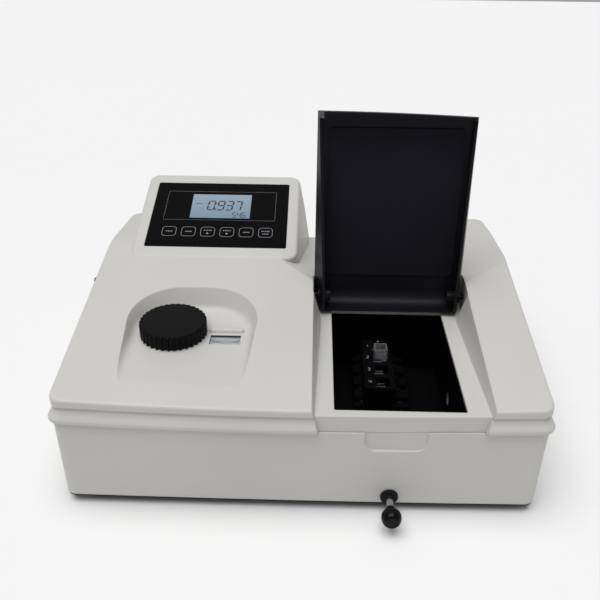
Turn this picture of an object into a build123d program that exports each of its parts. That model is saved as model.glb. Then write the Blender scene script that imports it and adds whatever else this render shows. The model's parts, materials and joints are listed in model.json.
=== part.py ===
from build123d import *
import os
from math import atan, atan2, cos, degrees, pi, radians, sin, sqrt, tan

os.makedirs("parts", exist_ok=True)

# Axes: X to the right, Y to the back, Z up.  The ground is Z = 0.  Lengths in mm.

# The shared origin lies on the ground under the middle of the overall box.
ORIGIN_SHIFT = Location((2.55, 12.1, 0.0))

# ---------------------------------------------------------------- case
FOOT_H = 8.0                      # height of the rubber feet
Y0 = -169.5                       # front nose of the deck, on the centre line
REAR = Y0 + 342.0                 # back face of the case
WALL = 3.0                        # moulding thickness
BASE_T = 2.0                      # steel base plate
SEAM_Z = FOOT_H + 78.5            # joint between lower case and top cover
LIP_HW = 209.0                    # half width over the lip
DECK_HW = 206.0                   # half width of the deck
CASE_HW_LOW = 204.0               # half width of the lower case at its foot
CASE_HW_TOP = 206.5               # half width of the lower case under the lip
DECK_Z = FOOT_H + 100.6           # height of the deck at its front nose
DECK_TAN = 0.1516                 # rise of the deck towards the back
DECK_DEG = degrees(atan(DECK_TAN))
CREST_Y = Y0 + 236.0              # where the deck turns down again
BACK_FALL = 0.135                 # fall of the deck behind the crest
BOW = 6.5                         # bow of the front face at the lip
BOW_LOW = 1.5                     # bow of the front face at the foot
LIP_OUT = 3.2                     # lip in front of the nose
CORNER_R = 11.0

# ---------------------------------------------------------------- channel for the lid
CH_L, CH_R = 9.3, 157.3           # top edges of the channel
CH_FLOOR = FOOT_H + 94.0
CH_FRONT = Y0 + 2.5
CH_BACK = Y0 + 191.3
CH_DRAFT = 15.0
HINGE_ZONE = Y0 + 155.0           # from here back the channel walls are upright
OPEN_X0, OPEN_X1 = 27.5, 136.4    # sample compartment opening
OPEN_Y0, OPEN_Y1 = Y0 + 11.8, Y0 + 169.5

# ---------------------------------------------------------------- lid
PIVOT_Y = Y0 + 173.4
PIVOT_Z = FOOT_H + 110.6
BULL_R = 15.9                     # round rear end of the lid, about the pivot
LID_T = 2.5
LID_FRONT = Y0 - 4.2              # front of the closed lid on the centre line
LID_GAP = 0.5
LID_OPEN_DEG = 103.2              # from closed to standing open
PIN_R = 2.5

# ---------------------------------------------------------------- scoop, knob and scale
SCOOP_Z = FOOT_H + 104.8
SCOOP_X, SCOOP_HW = -101.8, 53.5
SCOOP_BACK = Y0 + 148.0
SCOOP_FRONT = Y0 + 20.0
SCOOP_R = 41.0
SCOOP_DRAFT = 27.0
SCOOP_FLOOR_R = 9.0
KNOB_X, KNOB_Y = -118.5, Y0 + 105.0
KNOB_R, KNOB_H = 30.6, 14.5
FLUTES, FLUTE_R, FLUTE_OUT = 34, 2.4, 0.6     # scallops round the knob
SHAFT_R = 4.0
GEAR_M = 1.0                      # module of both gear pairs
SCALE_TEETH, SCALE_PINION = 90, 18
SECTOR_TEETH, SECTOR_PINION = 120, 12
SCALE_X = -71.0
SCALE_Y = KNOB_Y + sqrt(54.0**2 - (SCALE_X - KNOB_X) ** 2)
SCALE_Z = FOOT_H + 97.2
WINDOW_X, WINDOW_Y = -70.4, Y0 + 96.3
WINDOW_W, WINDOW_D = 27.6, 14.8

# ---------------------------------------------------------------- console
PANEL_DEG = 16.4
PANEL = Plane(
    origin=(-93.9, Y0 + 273.4, FOOT_H + 151.9),
    x_dir=(1, 0, 0),
    z_dir=(0, -sin(radians(PANEL_DEG)), cos(radians(PANEL_DEG))),
)
FRAME_W, FRAME_D, FRAME_R = 171.0, 138.0, 11.0
CONSOLE_DRAFT = 9.0
OVERLAY_W, OVERLAY_D, OVERLAY_T = 147.4, 107.4, 1.2
LCD_W, LCD_D, LCD_V = 65.2, 41.0, 13.6
KEY_W, KEY_D, KEY_V, KEY_PITCH = 16.0, 16.6, -29.2, 20.45
KEY_COUNT = 6
KEY_TRAVEL = 0.5

# ---------------------------------------------------------------- sample compartment
TUB_TOP = CH_FLOOR - WALL
TUB_FLOOR = FOOT_H + 27.0
CELL_X = 74.9
CELL_PITCH = 20.0
CELL_YS = [Y0 + 90.0 + CELL_PITCH * i for i in range(4)]
CELL_TOP = FOOT_H + 66.0
CUVETTE_W, CUVETTE_H = 12.5, 45.0
CUVETTE_Z = FOOT_H + 33.0
BEAM_Z = CUVETTE_Z + 15.0
BEAM_Y = CELL_YS[0]
RAIL_R = 3.0
RAIL_XS = (57.0, 93.0)
RAIL_Z = FOOT_H + 38.0
ROD_X, ROD_Z, ROD_R = 77.2, FOOT_H + 9.6, 3.0

# ---------------------------------------------------------------- lamp selector
LEVER_X, LEVER_Y = -165.0, Y0 + 190.0
LEVER_Z = FOOT_H + 111.0
LEVER_END_X, LEVER_END_Y = -210.5, Y0 + 190.0
LEVER_BALL_R = 3.6
LEVER_WIDTH = 5.0
LEVER_SLOT = 24.0

# ---------------------------------------------------------------- grating drive
DRIVE_A = atan2(40.2, 52.3)
GRATING_X = KNOB_X + 66.0 * cos(DRIVE_A)
GRATING_Y = KNOB_Y + 66.0 * sin(DRIVE_A)
SECTOR_Z = FOOT_H + 66.0

# ---------------------------------------------------------------- rear panel
PANEL_Z0, PANEL_Z1 = FOOT_H + 5.0, FOOT_H + 75.0
PANEL_X0, PANEL_X1 = -180.0, 180.0
FAN_X, FAN_Z, FAN_SIZE, FAN_T = -140.0, FOOT_H + 40.0, 60.0, 15.0
INLET_X, SWITCH_X, FUSE_X, PORT_X = 140.0, 96.0, 62.0, 10.0
SOCKET_Z = FOOT_H + 42.0


def deck_height(y):
    """Height of the deck ahead of its crest."""
    return DECK_Z + DECK_TAN * (y - Y0)


def case_outline(half_width, front, bow, rear, radius):
    """Draw the case outline, with a bowed front, in the sketch that is open."""
    with BuildLine() as outline:
        Polyline(
            (half_width, front + bow),
            (half_width, rear),
            (-half_width, rear),
            (-half_width, front + bow),
        )
        ThreePointArc((-half_width, front + bow), (0, front), (half_width, front + bow))
    make_face(outline.edges())
    fillet(BuildSketch._get_context().vertices(), radius)


def slanted_plane(x, side, drop):
    """Drafted side of the channel or lid: side is -1 on the left and 1 on the right."""
    tilt, slope = radians(CH_DRAFT), radians(DECK_DEG)
    outward = (side * cos(tilt), sin(tilt) * sin(slope), -sin(tilt) * cos(slope))
    return Plane(origin=(x, Y0, DECK_Z - drop), z_dir=outward)


def channel_space(grow):
    """Space that the channel takes out of the cover, grown by the wall thickness."""
    with BuildPart() as space:
        with BuildSketch(Plane.YZ.offset(CH_L - grow)):
            with BuildLine():
                Polyline(
                    (Y0 - 30, SEAM_Z - 10),
                    (Y0 + 30, SEAM_Z - 10),
                    (Y0 + 30, CH_FLOOR - grow),
                    (HINGE_ZONE + 10, CH_FLOOR - grow),
                    (HINGE_ZONE + 10, 260),
                    (Y0 - 30, 260),
                    close=True,
                )
            make_face()
        extrude(amount=CH_R - CH_L + 2 * grow)
        # apron under the channel floor, bowed like the case front
        with BuildSketch(Plane.XY.offset(SEAM_Z - 20)):
            case_outline(LIP_HW, CH_FRONT + grow, BOW, REAR, CORNER_R)
        extrude(amount=CH_FLOOR - grow - SEAM_Z + 20, mode=Mode.SUBTRACT)
        for x, side in ((CH_L - grow, -1), (CH_R + grow, 1)):
            split(bisect_by=slanted_plane(x, side, 0), keep=Keep.BOTTOM)
        with Locations(
            ((CH_L + CH_R) / 2, (HINGE_ZONE + CH_BACK) / 2, (CH_FLOOR + 260) / 2),
        ):
            Box(
                CH_R - CH_L + 0.8 + 2 * grow,
                CH_BACK - HINGE_ZONE + 2 * grow,
                260 - CH_FLOOR + 2 * grow,
            )
    return space.part


def scoop_space(grow):
    """Space of the knob recess: flat floor, drafted wall, open towards the front."""
    with BuildPart() as space:
        with BuildSketch(Plane.XY.offset(SCOOP_Z - grow)):
            with Locations((SCOOP_X, (SCOOP_FRONT + SCOOP_BACK) / 2)):
                RectangleRounded(
                    2 * SCOOP_HW + 2 * grow,
                    SCOOP_BACK - SCOOP_FRONT + 2 * grow,
                    SCOOP_R + grow,
                )
            with Locations((SCOOP_X, SCOOP_FRONT + 20)):
                Rectangle(2 * SCOOP_HW + 2 * grow, 60 + 2 * grow)
        extrude(amount=60, taper=-SCOOP_DRAFT)
        fillet(space.faces().sort_by(Axis.Z)[0].edges(), SCOOP_FLOOR_R + grow)
    return space.part


def console_form(inset):
    """Console wedge that stands on the deck, shrunk by the wall thickness."""
    with BuildPart() as form:
        with BuildSketch(PANEL.offset(-inset)):
            RectangleRounded(FRAME_W - 2 * inset, FRAME_D - 2 * inset, FRAME_R - inset)
        extrude(amount=-70, taper=-CONSOLE_DRAFT)
        with Locations((0, REAR - inset + 50, 150)):
            Box(500, 100, 300, mode=Mode.SUBTRACT)
        with Locations((0, 0, SEAM_Z + 14 - 100)):
            Box(500, 500, 200, mode=Mode.SUBTRACT)
        if inset == 0:
            fillet(form.faces().sort_by(Axis.Z)[-1].edges(), 3.0)
    return form.part


def valley_space(inset):
    """Space above the two falling faces behind the lid."""
    left = Plane(origin=(8.2, Y0 + 172.6, FOOT_H + 126.8 - inset), z_dir=(0.41, 0.24, 1.0))
    right = Plane(origin=(159.0, Y0 + 175.0, FOOT_H + 127.1 - inset), z_dir=(-0.164, 0.0614, 1.0))
    with BuildPart() as space:
        with Locations((0, 0, 180)):
            Box(600, 600, 240)
        split(bisect_by=left, keep=Keep.TOP)
        split(bisect_by=right, keep=Keep.TOP)
    return space.part


def sky(inset):
    """Space above the deck: a rising plane, a broad crest and a gentle fall."""
    crest_z = deck_height(CREST_Y) - inset
    with BuildPart() as space:
        with BuildSketch(Plane.YZ.offset(-300)) as profile:
            with BuildLine():
                Polyline(
                    (Y0 - 60, deck_height(Y0 - 60) - inset),
                    (CREST_Y, crest_z),
                    (REAR + 60, crest_z - BACK_FALL * (REAR + 60 - CREST_Y)),
                    (REAR + 60, 330),
                    (Y0 - 60, 330),
                    close=True,
                )
            make_face()
            crest = profile.vertices().sort_by_distance((CREST_Y, crest_z, 0))[0]
            fillet(crest, 130)
        extrude(amount=600)
    return space.part


def cover_form(inset):
    """Deck, console, channel and scoop in one form; inset gives the inner form."""
    half_width = DECK_HW - (0 if inset == 0 else inset + 2.0)
    front = Y0 + (0 if inset == 0 else inset + 2.0)
    bottom = SEAM_Z + 15.5 if inset == 0 else SEAM_Z - 5
    with BuildPart() as form:
        with BuildSketch(Plane.XY.offset(bottom)):
            case_outline(half_width, front, BOW, REAR - inset, CORNER_R - inset)
        extrude(amount=120)
        add(sky(inset), mode=Mode.SUBTRACT)
        if inset == 0:
            rim = form.edges().filter_by(lambda e: e.center().Z > SEAM_Z + 17)
            rim = rim.filter_by(lambda e: abs(e.tangent_at(0.5).Z) < 0.7)
            fillet(rim, 2.6)
        add(valley_space(inset), mode=Mode.SUBTRACT)
        add(console_form(inset))
        add(channel_space(inset), mode=Mode.SUBTRACT)
        add(scoop_space(inset), mode=Mode.SUBTRACT)
    return form.part


def gear_points(teeth, module, first=0.0, span=360.0, backlash=0.12):
    """Corner points of straight-flanked gear teeth on an arc about the origin."""
    pitch = 2 * pi / teeth
    root, tip = module * (teeth / 2 - 1.2), module * (teeth / 2 + 0.9)
    half_root = pitch * 0.36 - backlash / (module * teeth / 2)
    half_tip = pitch * 0.13
    count = round(teeth * span / 360)
    points = []
    for i in range(count):
        middle = radians(first) + pitch * i
        for radius, angle in (
            (root, middle - half_root),
            (tip, middle - half_tip),
            (tip, middle + half_tip),
            (root, middle + half_root),
        ):
            points.append((radius * cos(angle), radius * sin(angle)))
    return points


def save(node, label):
    """Move one node to the shared origin, label it and write its STEP file."""
    piece = node.part.moved(ORIGIN_SHIFT)
    piece.label = label
    export_step(piece, f"parts/{label}.step")


# ================================================================ case shell
FEET = [(sx * 172.0, Y0 + y) for sx in (-1, 1) for y in (40.0, 302.0)]

with BuildPart() as rubber_feet:
    for fx, fy in FEET:
        with Locations((fx, fy, 0)):
            Cone(12.5, 11.0, FOOT_H, align=(Align.CENTER, Align.CENTER, Align.MIN))
            Cylinder(3.0, 2.0, align=(Align.CENTER, Align.CENTER, Align.MIN), mode=Mode.SUBTRACT)
save(rubber_feet, "rubber_feet")

with BuildPart() as base_plate:
    with BuildSketch(Plane.XY.offset(FOOT_H)):
        case_outline(CASE_HW_LOW - 0.6, Y0 + 2.6, BOW_LOW, REAR - 0.6, 9.0)
    extrude(amount=BASE_T)
    with BuildSketch(Plane.XY.offset(FOOT_H)):
        with Locations((-60, Y0 + 262)):
            with GridLocations(0, 9, 1, 7):
                SlotOverall(70, 4)
    extrude(amount=BASE_T, mode=Mode.SUBTRACT)
save(base_plate, "base_plate")

with BuildPart() as lower_case:
    low, high = FOOT_H + BASE_T, SEAM_Z
    with BuildSketch(Plane.XY.offset(low)):
        case_outline(CASE_HW_LOW, Y0 + 2.0, BOW_LOW, REAR, 10.0)
    with BuildSketch(Plane.XY.offset(high)):
        case_outline(CASE_HW_TOP, Y0 + 0.6, BOW, REAR, 10.0)
    loft(ruled=True)
    with BuildSketch(Plane.XY.offset(low)):
        case_outline(CASE_HW_LOW - WALL, Y0 + 2.0 + WALL, BOW_LOW, REAR - WALL, 7.0)
    with BuildSketch(Plane.XY.offset(high)):
        case_outline(CASE_HW_TOP - WALL, Y0 + 0.6 + WALL, BOW, REAR - WALL, 7.0)
    loft(ruled=True, mode=Mode.SUBTRACT)
    # finger relief below the lid, with a thickened wall behind it
    with Locations((79.4, Y0 + 6.4, SEAM_Z - 15)):
        Box(62, 4.4, 30)
    with BuildSketch(Plane.XZ.offset(-(Y0 + 3.6))):
        with Locations((79.4, SEAM_Z - 2)):
            RectangleRounded(49.5, 32.0, 8.0)
    extrude(amount=9.0, taper=-36, mode=Mode.SUBTRACT)
    # window for the rear panel and hole for the pull rod
    with Locations((0, REAR - WALL / 2, (PANEL_Z0 + PANEL_Z1) / 2)):
        Box(PANEL_X1 - PANEL_X0 - 10, WALL + 2, PANEL_Z1 - PANEL_Z0 - 10, mode=Mode.SUBTRACT)
    with Locations((ROD_X, Y0 + 4, ROD_Z)):
        Cylinder(5.0, 16, rotation=(90, 0, 0), mode=Mode.SUBTRACT)
save(lower_case, "lower_case")

# sections of the lip and cove under the deck: height above the seam and inset from the lip
COVE = ((0.0, 1.6), (1.2, 0.4), (2.6, 0.0), (4.6, 0.0), (6.4, 0.9), (9.0, 2.6), (12.5, 4.2),
        (16.5, 5.0))

with BuildPart() as top_cover:
    for height, inset in COVE:
        with BuildSketch(Plane.XY.offset(SEAM_Z + height)):
            case_outline(LIP_HW - inset, Y0 - LIP_OUT + inset, BOW, REAR - max(0.0, inset - 3), CORNER_R)
    loft(ruled=True)
    add(cover_form(0.0))
    add(channel_space(0.0), mode=Mode.SUBTRACT)
    add(cover_form(WALL), mode=Mode.SUBTRACT)
    # sample compartment opening
    with BuildSketch(Plane.XY.offset(CH_FLOOR - WALL - 1)):
        with Locations(((OPEN_X0 + OPEN_X1) / 2, (OPEN_Y0 + OPEN_Y1) / 2)):
            RectangleRounded(OPEN_X1 - OPEN_X0, OPEN_Y1 - OPEN_Y0, 1.5)
    extrude(amount=WALL + 2, mode=Mode.SUBTRACT)
    # console: seat of the overlay, and the openings under the display and keys
    with BuildSketch(PANEL):
        RectangleRounded(OVERLAY_W + 0.4, OVERLAY_D + 0.4, 2.0)
    extrude(amount=-OVERLAY_T, mode=Mode.SUBTRACT)
    with BuildSketch(PANEL):
        with Locations((0, LCD_V)):
            Rectangle(LCD_W + 8, LCD_D + 8)
        with Locations((0, KEY_V)):
            Rectangle(KEY_PITCH * KEY_COUNT, KEY_D + 0.8)
    extrude(amount=-10, mode=Mode.SUBTRACT)
    # bore of the knob bearing and the scale window with its brow
    with Locations((KNOB_X, KNOB_Y, SCOOP_Z)):
        Cylinder(8.0, 12, mode=Mode.SUBTRACT)
    with BuildSketch(Plane.XY.offset(SCOOP_Z)):
        with Locations((WINDOW_X, WINDOW_Y + WINDOW_D / 2 + 6.5)):
            RectangleRounded(33, 8, 3.9)
    extrude(amount=2.8, taper=25)
    with Locations((WINDOW_X, WINDOW_Y, SCOOP_Z)):
        Box(WINDOW_W, WINDOW_D, 12, mode=Mode.SUBTRACT)
    # slot of the lamp selector lever
    with BuildSketch(Plane.YZ.offset(-DECK_HW - 5)):
        with Locations((LEVER_END_Y, LEVER_Z + 1.5)):
            SlotOverall(LEVER_SLOT, 5.2)
    extrude(amount=16, mode=Mode.SUBTRACT)
    # seats of the lid hinge pins
    for px in (CH_L - 2.0, CH_R + 2.0):
        with Locations((px, PIVOT_Y, PIVOT_Z)):
            Cylinder(PIN_R, 12, rotation=(0, 90, 0), mode=Mode.SUBTRACT)
save(top_cover, "top_cover")

with BuildPart() as rear_panel:
    with Locations((0, REAR - WALL - 0.9, (PANEL_Z0 + PANEL_Z1) / 2)):
        Box(PANEL_X1 - PANEL_X0, 1.8, PANEL_Z1 - PANEL_Z0)
    with Locations((FAN_X, REAR - WALL - 0.9, FAN_Z)):
        Cylinder(27.5, 6, rotation=(90, 0, 0), mode=Mode.SUBTRACT)
    for sx, width, height in (
        (INLET_X, 27.6, 20.6),
        (SWITCH_X, 13.2, 19.4),
        (PORT_X, 20.0, 10.4),
    ):
        with Locations((sx, REAR - WALL - 0.9, SOCKET_Z)):
            Box(width, 6, height, mode=Mode.SUBTRACT)
    with Locations((FUSE_X, REAR - WALL - 0.9, SOCKET_Z)):
        Cylinder(6.6, 6, rotation=(90, 0, 0), mode=Mode.SUBTRACT)
save(rear_panel, "rear_panel")

SCREWS = [(sx * x, Y0 + y) for sx in (-1, 1) for x, y in ((190.0, 70.0), (190.0, 270.0), (90.0, 30.0))]

with BuildPart() as case_screws:
    for sx, sy in SCREWS:
        with Locations((sx, sy, FOOT_H - 2.2)):
            Cylinder(3.6, 2.2, align=(Align.CENTER, Align.CENTER, Align.MIN))
            Box(5.4, 1.0, 2.0, align=(Align.CENTER, Align.CENTER, Align.CENTER), mode=Mode.SUBTRACT)
save(case_screws, "case_screws")

# ================================================================ lid
def lid_form(inset):
    """Closed lid as a solid wedge with drafted sides; inset gives its hollow."""
    slope = radians(DECK_DEG)
    radius = BULL_R - inset
    front = LID_FRONT + inset
    tangent = (PIVOT_Y - radius * sin(slope), PIVOT_Z + radius * cos(slope))
    top_front = (front, tangent[1] - (tangent[0] - front) * tan(slope))
    underside = PIVOT_Z - BULL_R
    with BuildPart() as form:
        with BuildSketch(Plane.YZ.offset(CH_L + LID_GAP + inset)):
            with BuildLine() as outline:
                if inset == 0:
                    Polyline(
                        (PIVOT_Y, underside),
                        (Y0 + 2.0, underside),
                        (Y0 + 2.0, SEAM_Z + 0.8),
                        (front, SEAM_Z + 0.8),
                        top_front,
                        tangent,
                    )
                    ThreePointArc(tangent, (PIVOT_Y + radius, PIVOT_Z), (PIVOT_Y, underside))
                else:
                    middle = (PIVOT_Y + radius * sin(pi / 4), PIVOT_Z + radius * cos(pi / 4))
                    ThreePointArc(tangent, middle, (PIVOT_Y + radius, PIVOT_Z))
                    Polyline(
                        (PIVOT_Y + radius, PIVOT_Z),
                        (PIVOT_Y + radius, underside - 20),
                        (front, underside - 20),
                        top_front,
                        tangent,
                    )
            make_face(outline.edges())
        extrude(amount=CH_R - CH_L - 2 * LID_GAP - 2 * inset)
        for x, side in ((CH_L + LID_GAP + inset, -1), (CH_R - LID_GAP - inset, 1)):
            split(bisect_by=slanted_plane(x, side, 0), keep=Keep.BOTTOM)
        # front skirt bowed like the case front
        with BuildSketch(Plane.XY.offset(SEAM_Z - 40)):
            case_outline(LIP_HW, front, BOW, REAR, CORNER_R)
        extrude(amount=150, mode=Mode.INTERSECT)
    return form.part


HINGE = Axis((0, PIVOT_Y, PIVOT_Z), (1, 0, 0))

with BuildPart() as closed_lid:
    add(lid_form(0))
    add(lid_form(LID_T), mode=Mode.SUBTRACT)
    # knuckles around the hinge pins
    for kx in (CH_L + 10.5, CH_R - 10.5):
        with Locations((kx, PIVOT_Y, PIVOT_Z)):
            Cylinder(6.0, 12, rotation=(0, 90, 0))
    with Locations(((CH_L + CH_R) / 2, PIVOT_Y, PIVOT_Z)):
        Cylinder(PIN_R + 0.06, 200, rotation=(0, 90, 0), mode=Mode.SUBTRACT)

with BuildPart() as lid_shell:
    add(closed_lid.part.rotate(HINGE, -LID_OPEN_DEG))
save(lid_shell, "lid_shell")

with BuildPart() as closed_liner:
    liner_y = Y0 + 82.0
    deck_normal = (0, -sin(radians(DECK_DEG)), cos(radians(DECK_DEG)))
    liner_at = ((CH_L + CH_R) / 2, liner_y, deck_height(liner_y))
    with BuildSketch(Plane(liner_at, x_dir=(1, 0, 0), z_dir=deck_normal).offset(-LID_T - 0.25)):
        RectangleRounded(CH_R - CH_L - 22, 146, 5)
    extrude(amount=-1.5)

with BuildPart() as lid_liner:
    add(closed_liner.part.rotate(HINGE, -LID_OPEN_DEG))
save(lid_liner, "lid_liner")

with BuildPart() as hinge_pins:
    for px, side in ((CH_L, 1), (CH_R, -1)):
        with Locations((px + side * 3.6, PIVOT_Y, PIVOT_Z)):
            Cylinder(PIN_R, 15.2, rotation=(0, 90, 0))
save(hinge_pins, "hinge_pins")

# ================================================================ console
with BuildPart() as overlay:
    with BuildSketch(PANEL.offset(-OVERLAY_T)):
        RectangleRounded(OVERLAY_W, OVERLAY_D, 1.8)
        with Locations((0, LCD_V)):
            Rectangle(LCD_W, LCD_D, mode=Mode.SUBTRACT)
        with Locations((0, KEY_V)):
            with GridLocations(KEY_PITCH, 0, KEY_COUNT, 1):
                RectangleRounded(KEY_W + 0.4, KEY_D + 0.4, 3.4, mode=Mode.SUBTRACT)
    extrude(amount=OVERLAY_T)
save(overlay, "console_overlay")

for index in range(KEY_COUNT):
    offset = KEY_PITCH * (index - (KEY_COUNT - 1) / 2)
    with BuildPart() as key:
        with BuildSketch(PANEL.offset(-OVERLAY_T + 0.05)):
            with Locations((offset, KEY_V)):
                RectangleRounded(KEY_W, KEY_D, 3.2)
        extrude(amount=OVERLAY_T - 0.05)
        with BuildSketch(PANEL.offset(-5.4)):
            with Locations((offset, KEY_V)):
                Circle(3.0)
        extrude(amount=5.4 - OVERLAY_T + 0.2)
    save(key, f"key_{index + 1}")

with BuildPart() as lcd_module:
    with BuildSketch(PANEL.offset(-4.0)):
        with Locations((0, LCD_V)):
            Rectangle(LCD_W - 0.2, LCD_D - 0.2)
    extrude(amount=4.0 - 0.3)
    with BuildSketch(PANEL.offset(-8.0)):
        with Locations((0, LCD_V)):
            Rectangle(LCD_W + 6, LCD_D + 6)
    extrude(amount=4.2)
save(lcd_module, "lcd_module")

with BuildPart() as key_board:
    with BuildSketch(PANEL.offset(-9.6)):
        Rectangle(136, 100)
    extrude(amount=1.6)
    with BuildSketch(PANEL.offset(-8.0)):
        with Locations((0, KEY_V)):
            with GridLocations(KEY_PITCH, 0, KEY_COUNT, 1):
                Rectangle(6.2, 6.2)
    extrude(amount=2.0)
save(key_board, "key_board")

# ================================================================ knob, scale and grating drive
SHAFT_TOP = SCOOP_Z + KNOB_H - 3.0

with BuildPart() as knob_bearing:
    with Locations((KNOB_X, KNOB_Y, SCOOP_Z - WALL - 1.3)):
        Cylinder(7.9, WALL + 1.3, align=(Align.CENTER, Align.CENTER, Align.MIN))
        Cylinder(11.0, 1.3, align=(Align.CENTER, Align.CENTER, Align.MIN))
        Cylinder(SHAFT_R + 0.06, 40, mode=Mode.SUBTRACT)
save(knob_bearing, "knob_bearing")

with BuildPart() as wavelength_knob:
    with Locations((KNOB_X, KNOB_Y, SCOOP_Z + 0.6)):
        Cylinder(KNOB_R, KNOB_H - 0.6, align=(Align.CENTER, Align.CENTER, Align.MIN))
    fillet(wavelength_knob.edges().group_by(Axis.Z)[-1], 1.2)
    with Locations((KNOB_X, KNOB_Y, SCOOP_Z - 1)):
        with PolarLocations(KNOB_R + FLUTE_OUT, FLUTES):
            Cylinder(FLUTE_R, KNOB_H + 3, align=(Align.CENTER, Align.CENTER, Align.MIN), mode=Mode.SUBTRACT)
    with Locations((KNOB_X, KNOB_Y, SCOOP_Z - 5)):
        Cylinder(
            SHAFT_R,
            SHAFT_TOP - SCOOP_Z + 5,
            align=(Align.CENTER, Align.CENTER, Align.MIN),
            mode=Mode.SUBTRACT,
        )
save(wavelength_knob, "wavelength_knob")

SHAFT_FOOT = FOOT_H + 18.0

with BuildPart() as knob_shaft:
    with Locations((KNOB_X, KNOB_Y, SHAFT_FOOT)):
        Cylinder(SHAFT_R, SHAFT_TOP - SHAFT_FOOT, align=(Align.CENTER, Align.CENTER, Align.MIN))
    for teeth, height in ((SCALE_PINION, SCALE_Z - 2.0), (SECTOR_PINION, SECTOR_Z - 0.8)):
        with BuildSketch(Plane.XY.offset(height)):
            with Locations((KNOB_X, KNOB_Y)):
                Polygon(*gear_points(teeth, GEAR_M), align=None)
        extrude(amount=4.4)
save(knob_shaft, "knob_shaft")


def mesh_phase(teeth, pinion, centre_x, centre_y):
    """Angle of the first tooth of a wheel so that it meshes with the pinion at the knob."""
    toward = degrees(atan2(KNOB_Y - centre_y, KNOB_X - centre_x))
    back = toward + 180.0
    pitch_small, pitch_large = 360.0 / pinion, 360.0 / teeth
    lead = (back % pitch_small) / pitch_small
    return toward + pitch_large * (0.5 + lead)


with BuildPart() as scale_disc:
    phase = mesh_phase(SCALE_TEETH, SCALE_PINION, SCALE_X, SCALE_Y)
    with BuildSketch(Plane.XY.offset(SCALE_Z)):
        with Locations((SCALE_X, SCALE_Y)):
            Polygon(*gear_points(SCALE_TEETH, GEAR_M, phase), align=None)
    extrude(amount=3)
    with Locations((SCALE_X, SCALE_Y, SCALE_Z - 6)):
        Cylinder(7, 6, align=(Align.CENTER, Align.CENTER, Align.MIN))
        Cylinder(3.06, 40, mode=Mode.SUBTRACT)
save(scale_disc, "scale_disc")

with BuildPart() as counter_window:
    with Locations((WINDOW_X, WINDOW_Y, SCOOP_Z - WALL)):
        Box(WINDOW_W, WINDOW_D, WALL - 0.6, align=(Align.CENTER, Align.CENTER, Align.MIN))
save(counter_window, "scale_window")

MONO_Z = FOOT_H + 12.0
MONO_X0, MONO_X1 = -194.0, 8.0
MONO_Y0, MONO_Y1 = Y0 + 62.0, Y0 + 178.0

with BuildPart() as mono_base:
    with BuildSketch(Plane.XY.offset(MONO_Z)):
        with Locations(((MONO_X0 + MONO_X1) / 2, (MONO_Y0 + MONO_Y1) / 2)):
            RectangleRounded(MONO_X1 - MONO_X0, MONO_Y1 - MONO_Y0, 8)
    extrude(amount=6)
    # standoffs onto the base plate
    for mx in (MONO_X0 + 12, MONO_X1 - 12):
        for my in (MONO_Y0 + 12, MONO_Y1 - 12):
            with Locations((mx, my, FOOT_H + BASE_T)):
                Cylinder(6, MONO_Z - FOOT_H - BASE_T, align=(Align.CENTER, Align.CENTER, Align.MIN))
    # walls that carry the slits
    wall_h = 44.0
    for wx, wy, width, depth in (
        ((MONO_X0 + MONO_X1) / 2, MONO_Y0 + 2, MONO_X1 - MONO_X0 - 16, 4),
        (MONO_X1 - 2, (MONO_Y0 + MONO_Y1) / 2, 4, MONO_Y1 - MONO_Y0 - 16),
        ((MONO_X0 + MONO_X1) / 2, MONO_Y1 - 2, MONO_X1 - MONO_X0 - 16, 4),
    ):
        with Locations((wx, wy, MONO_Z + 6)):
            Box(width, depth, wall_h, align=(Align.CENTER, Align.CENTER, Align.MIN))
    with Locations((MONO_X1 - 2, BEAM_Y, BEAM_Z)):
        Box(10, 7, 12, mode=Mode.SUBTRACT)
    with Locations((LEVER_X, MONO_Y1 - 2, BEAM_Z)):
        Box(7, 10, 12, mode=Mode.SUBTRACT)
    # seats of the knob shaft and the grating table, and the post of the scale
    with Locations((KNOB_X, KNOB_Y, MONO_Z - 3)):
        Cylinder(SHAFT_R + 0.06, 30, align=(Align.CENTER, Align.CENTER, Align.MIN), mode=Mode.SUBTRACT)
    with Locations((GRATING_X, GRATING_Y, MONO_Z - 3)):
        Cylinder(4.06, 30, align=(Align.CENTER, Align.CENTER, Align.MIN), mode=Mode.SUBTRACT)
save(mono_base, "mono_base")

with BuildPart() as scale_post:
    ceiling = SCOOP_Z - WALL
    with Locations((SCALE_X, SCALE_Y, SCALE_Z - 9.4)):
        Cylinder(3.0, ceiling - SCALE_Z + 9.4, align=(Align.CENTER, Align.CENTER, Align.MIN))
        Cylinder(5.0, 3.2, align=(Align.CENTER, Align.CENTER, Align.MIN))
    with Locations((SCALE_X, SCALE_Y, ceiling)):
        Cylinder(8.0, 1.2, align=(Align.CENTER, Align.CENTER, Align.MAX))
save(scale_post, "scale_post")

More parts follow.
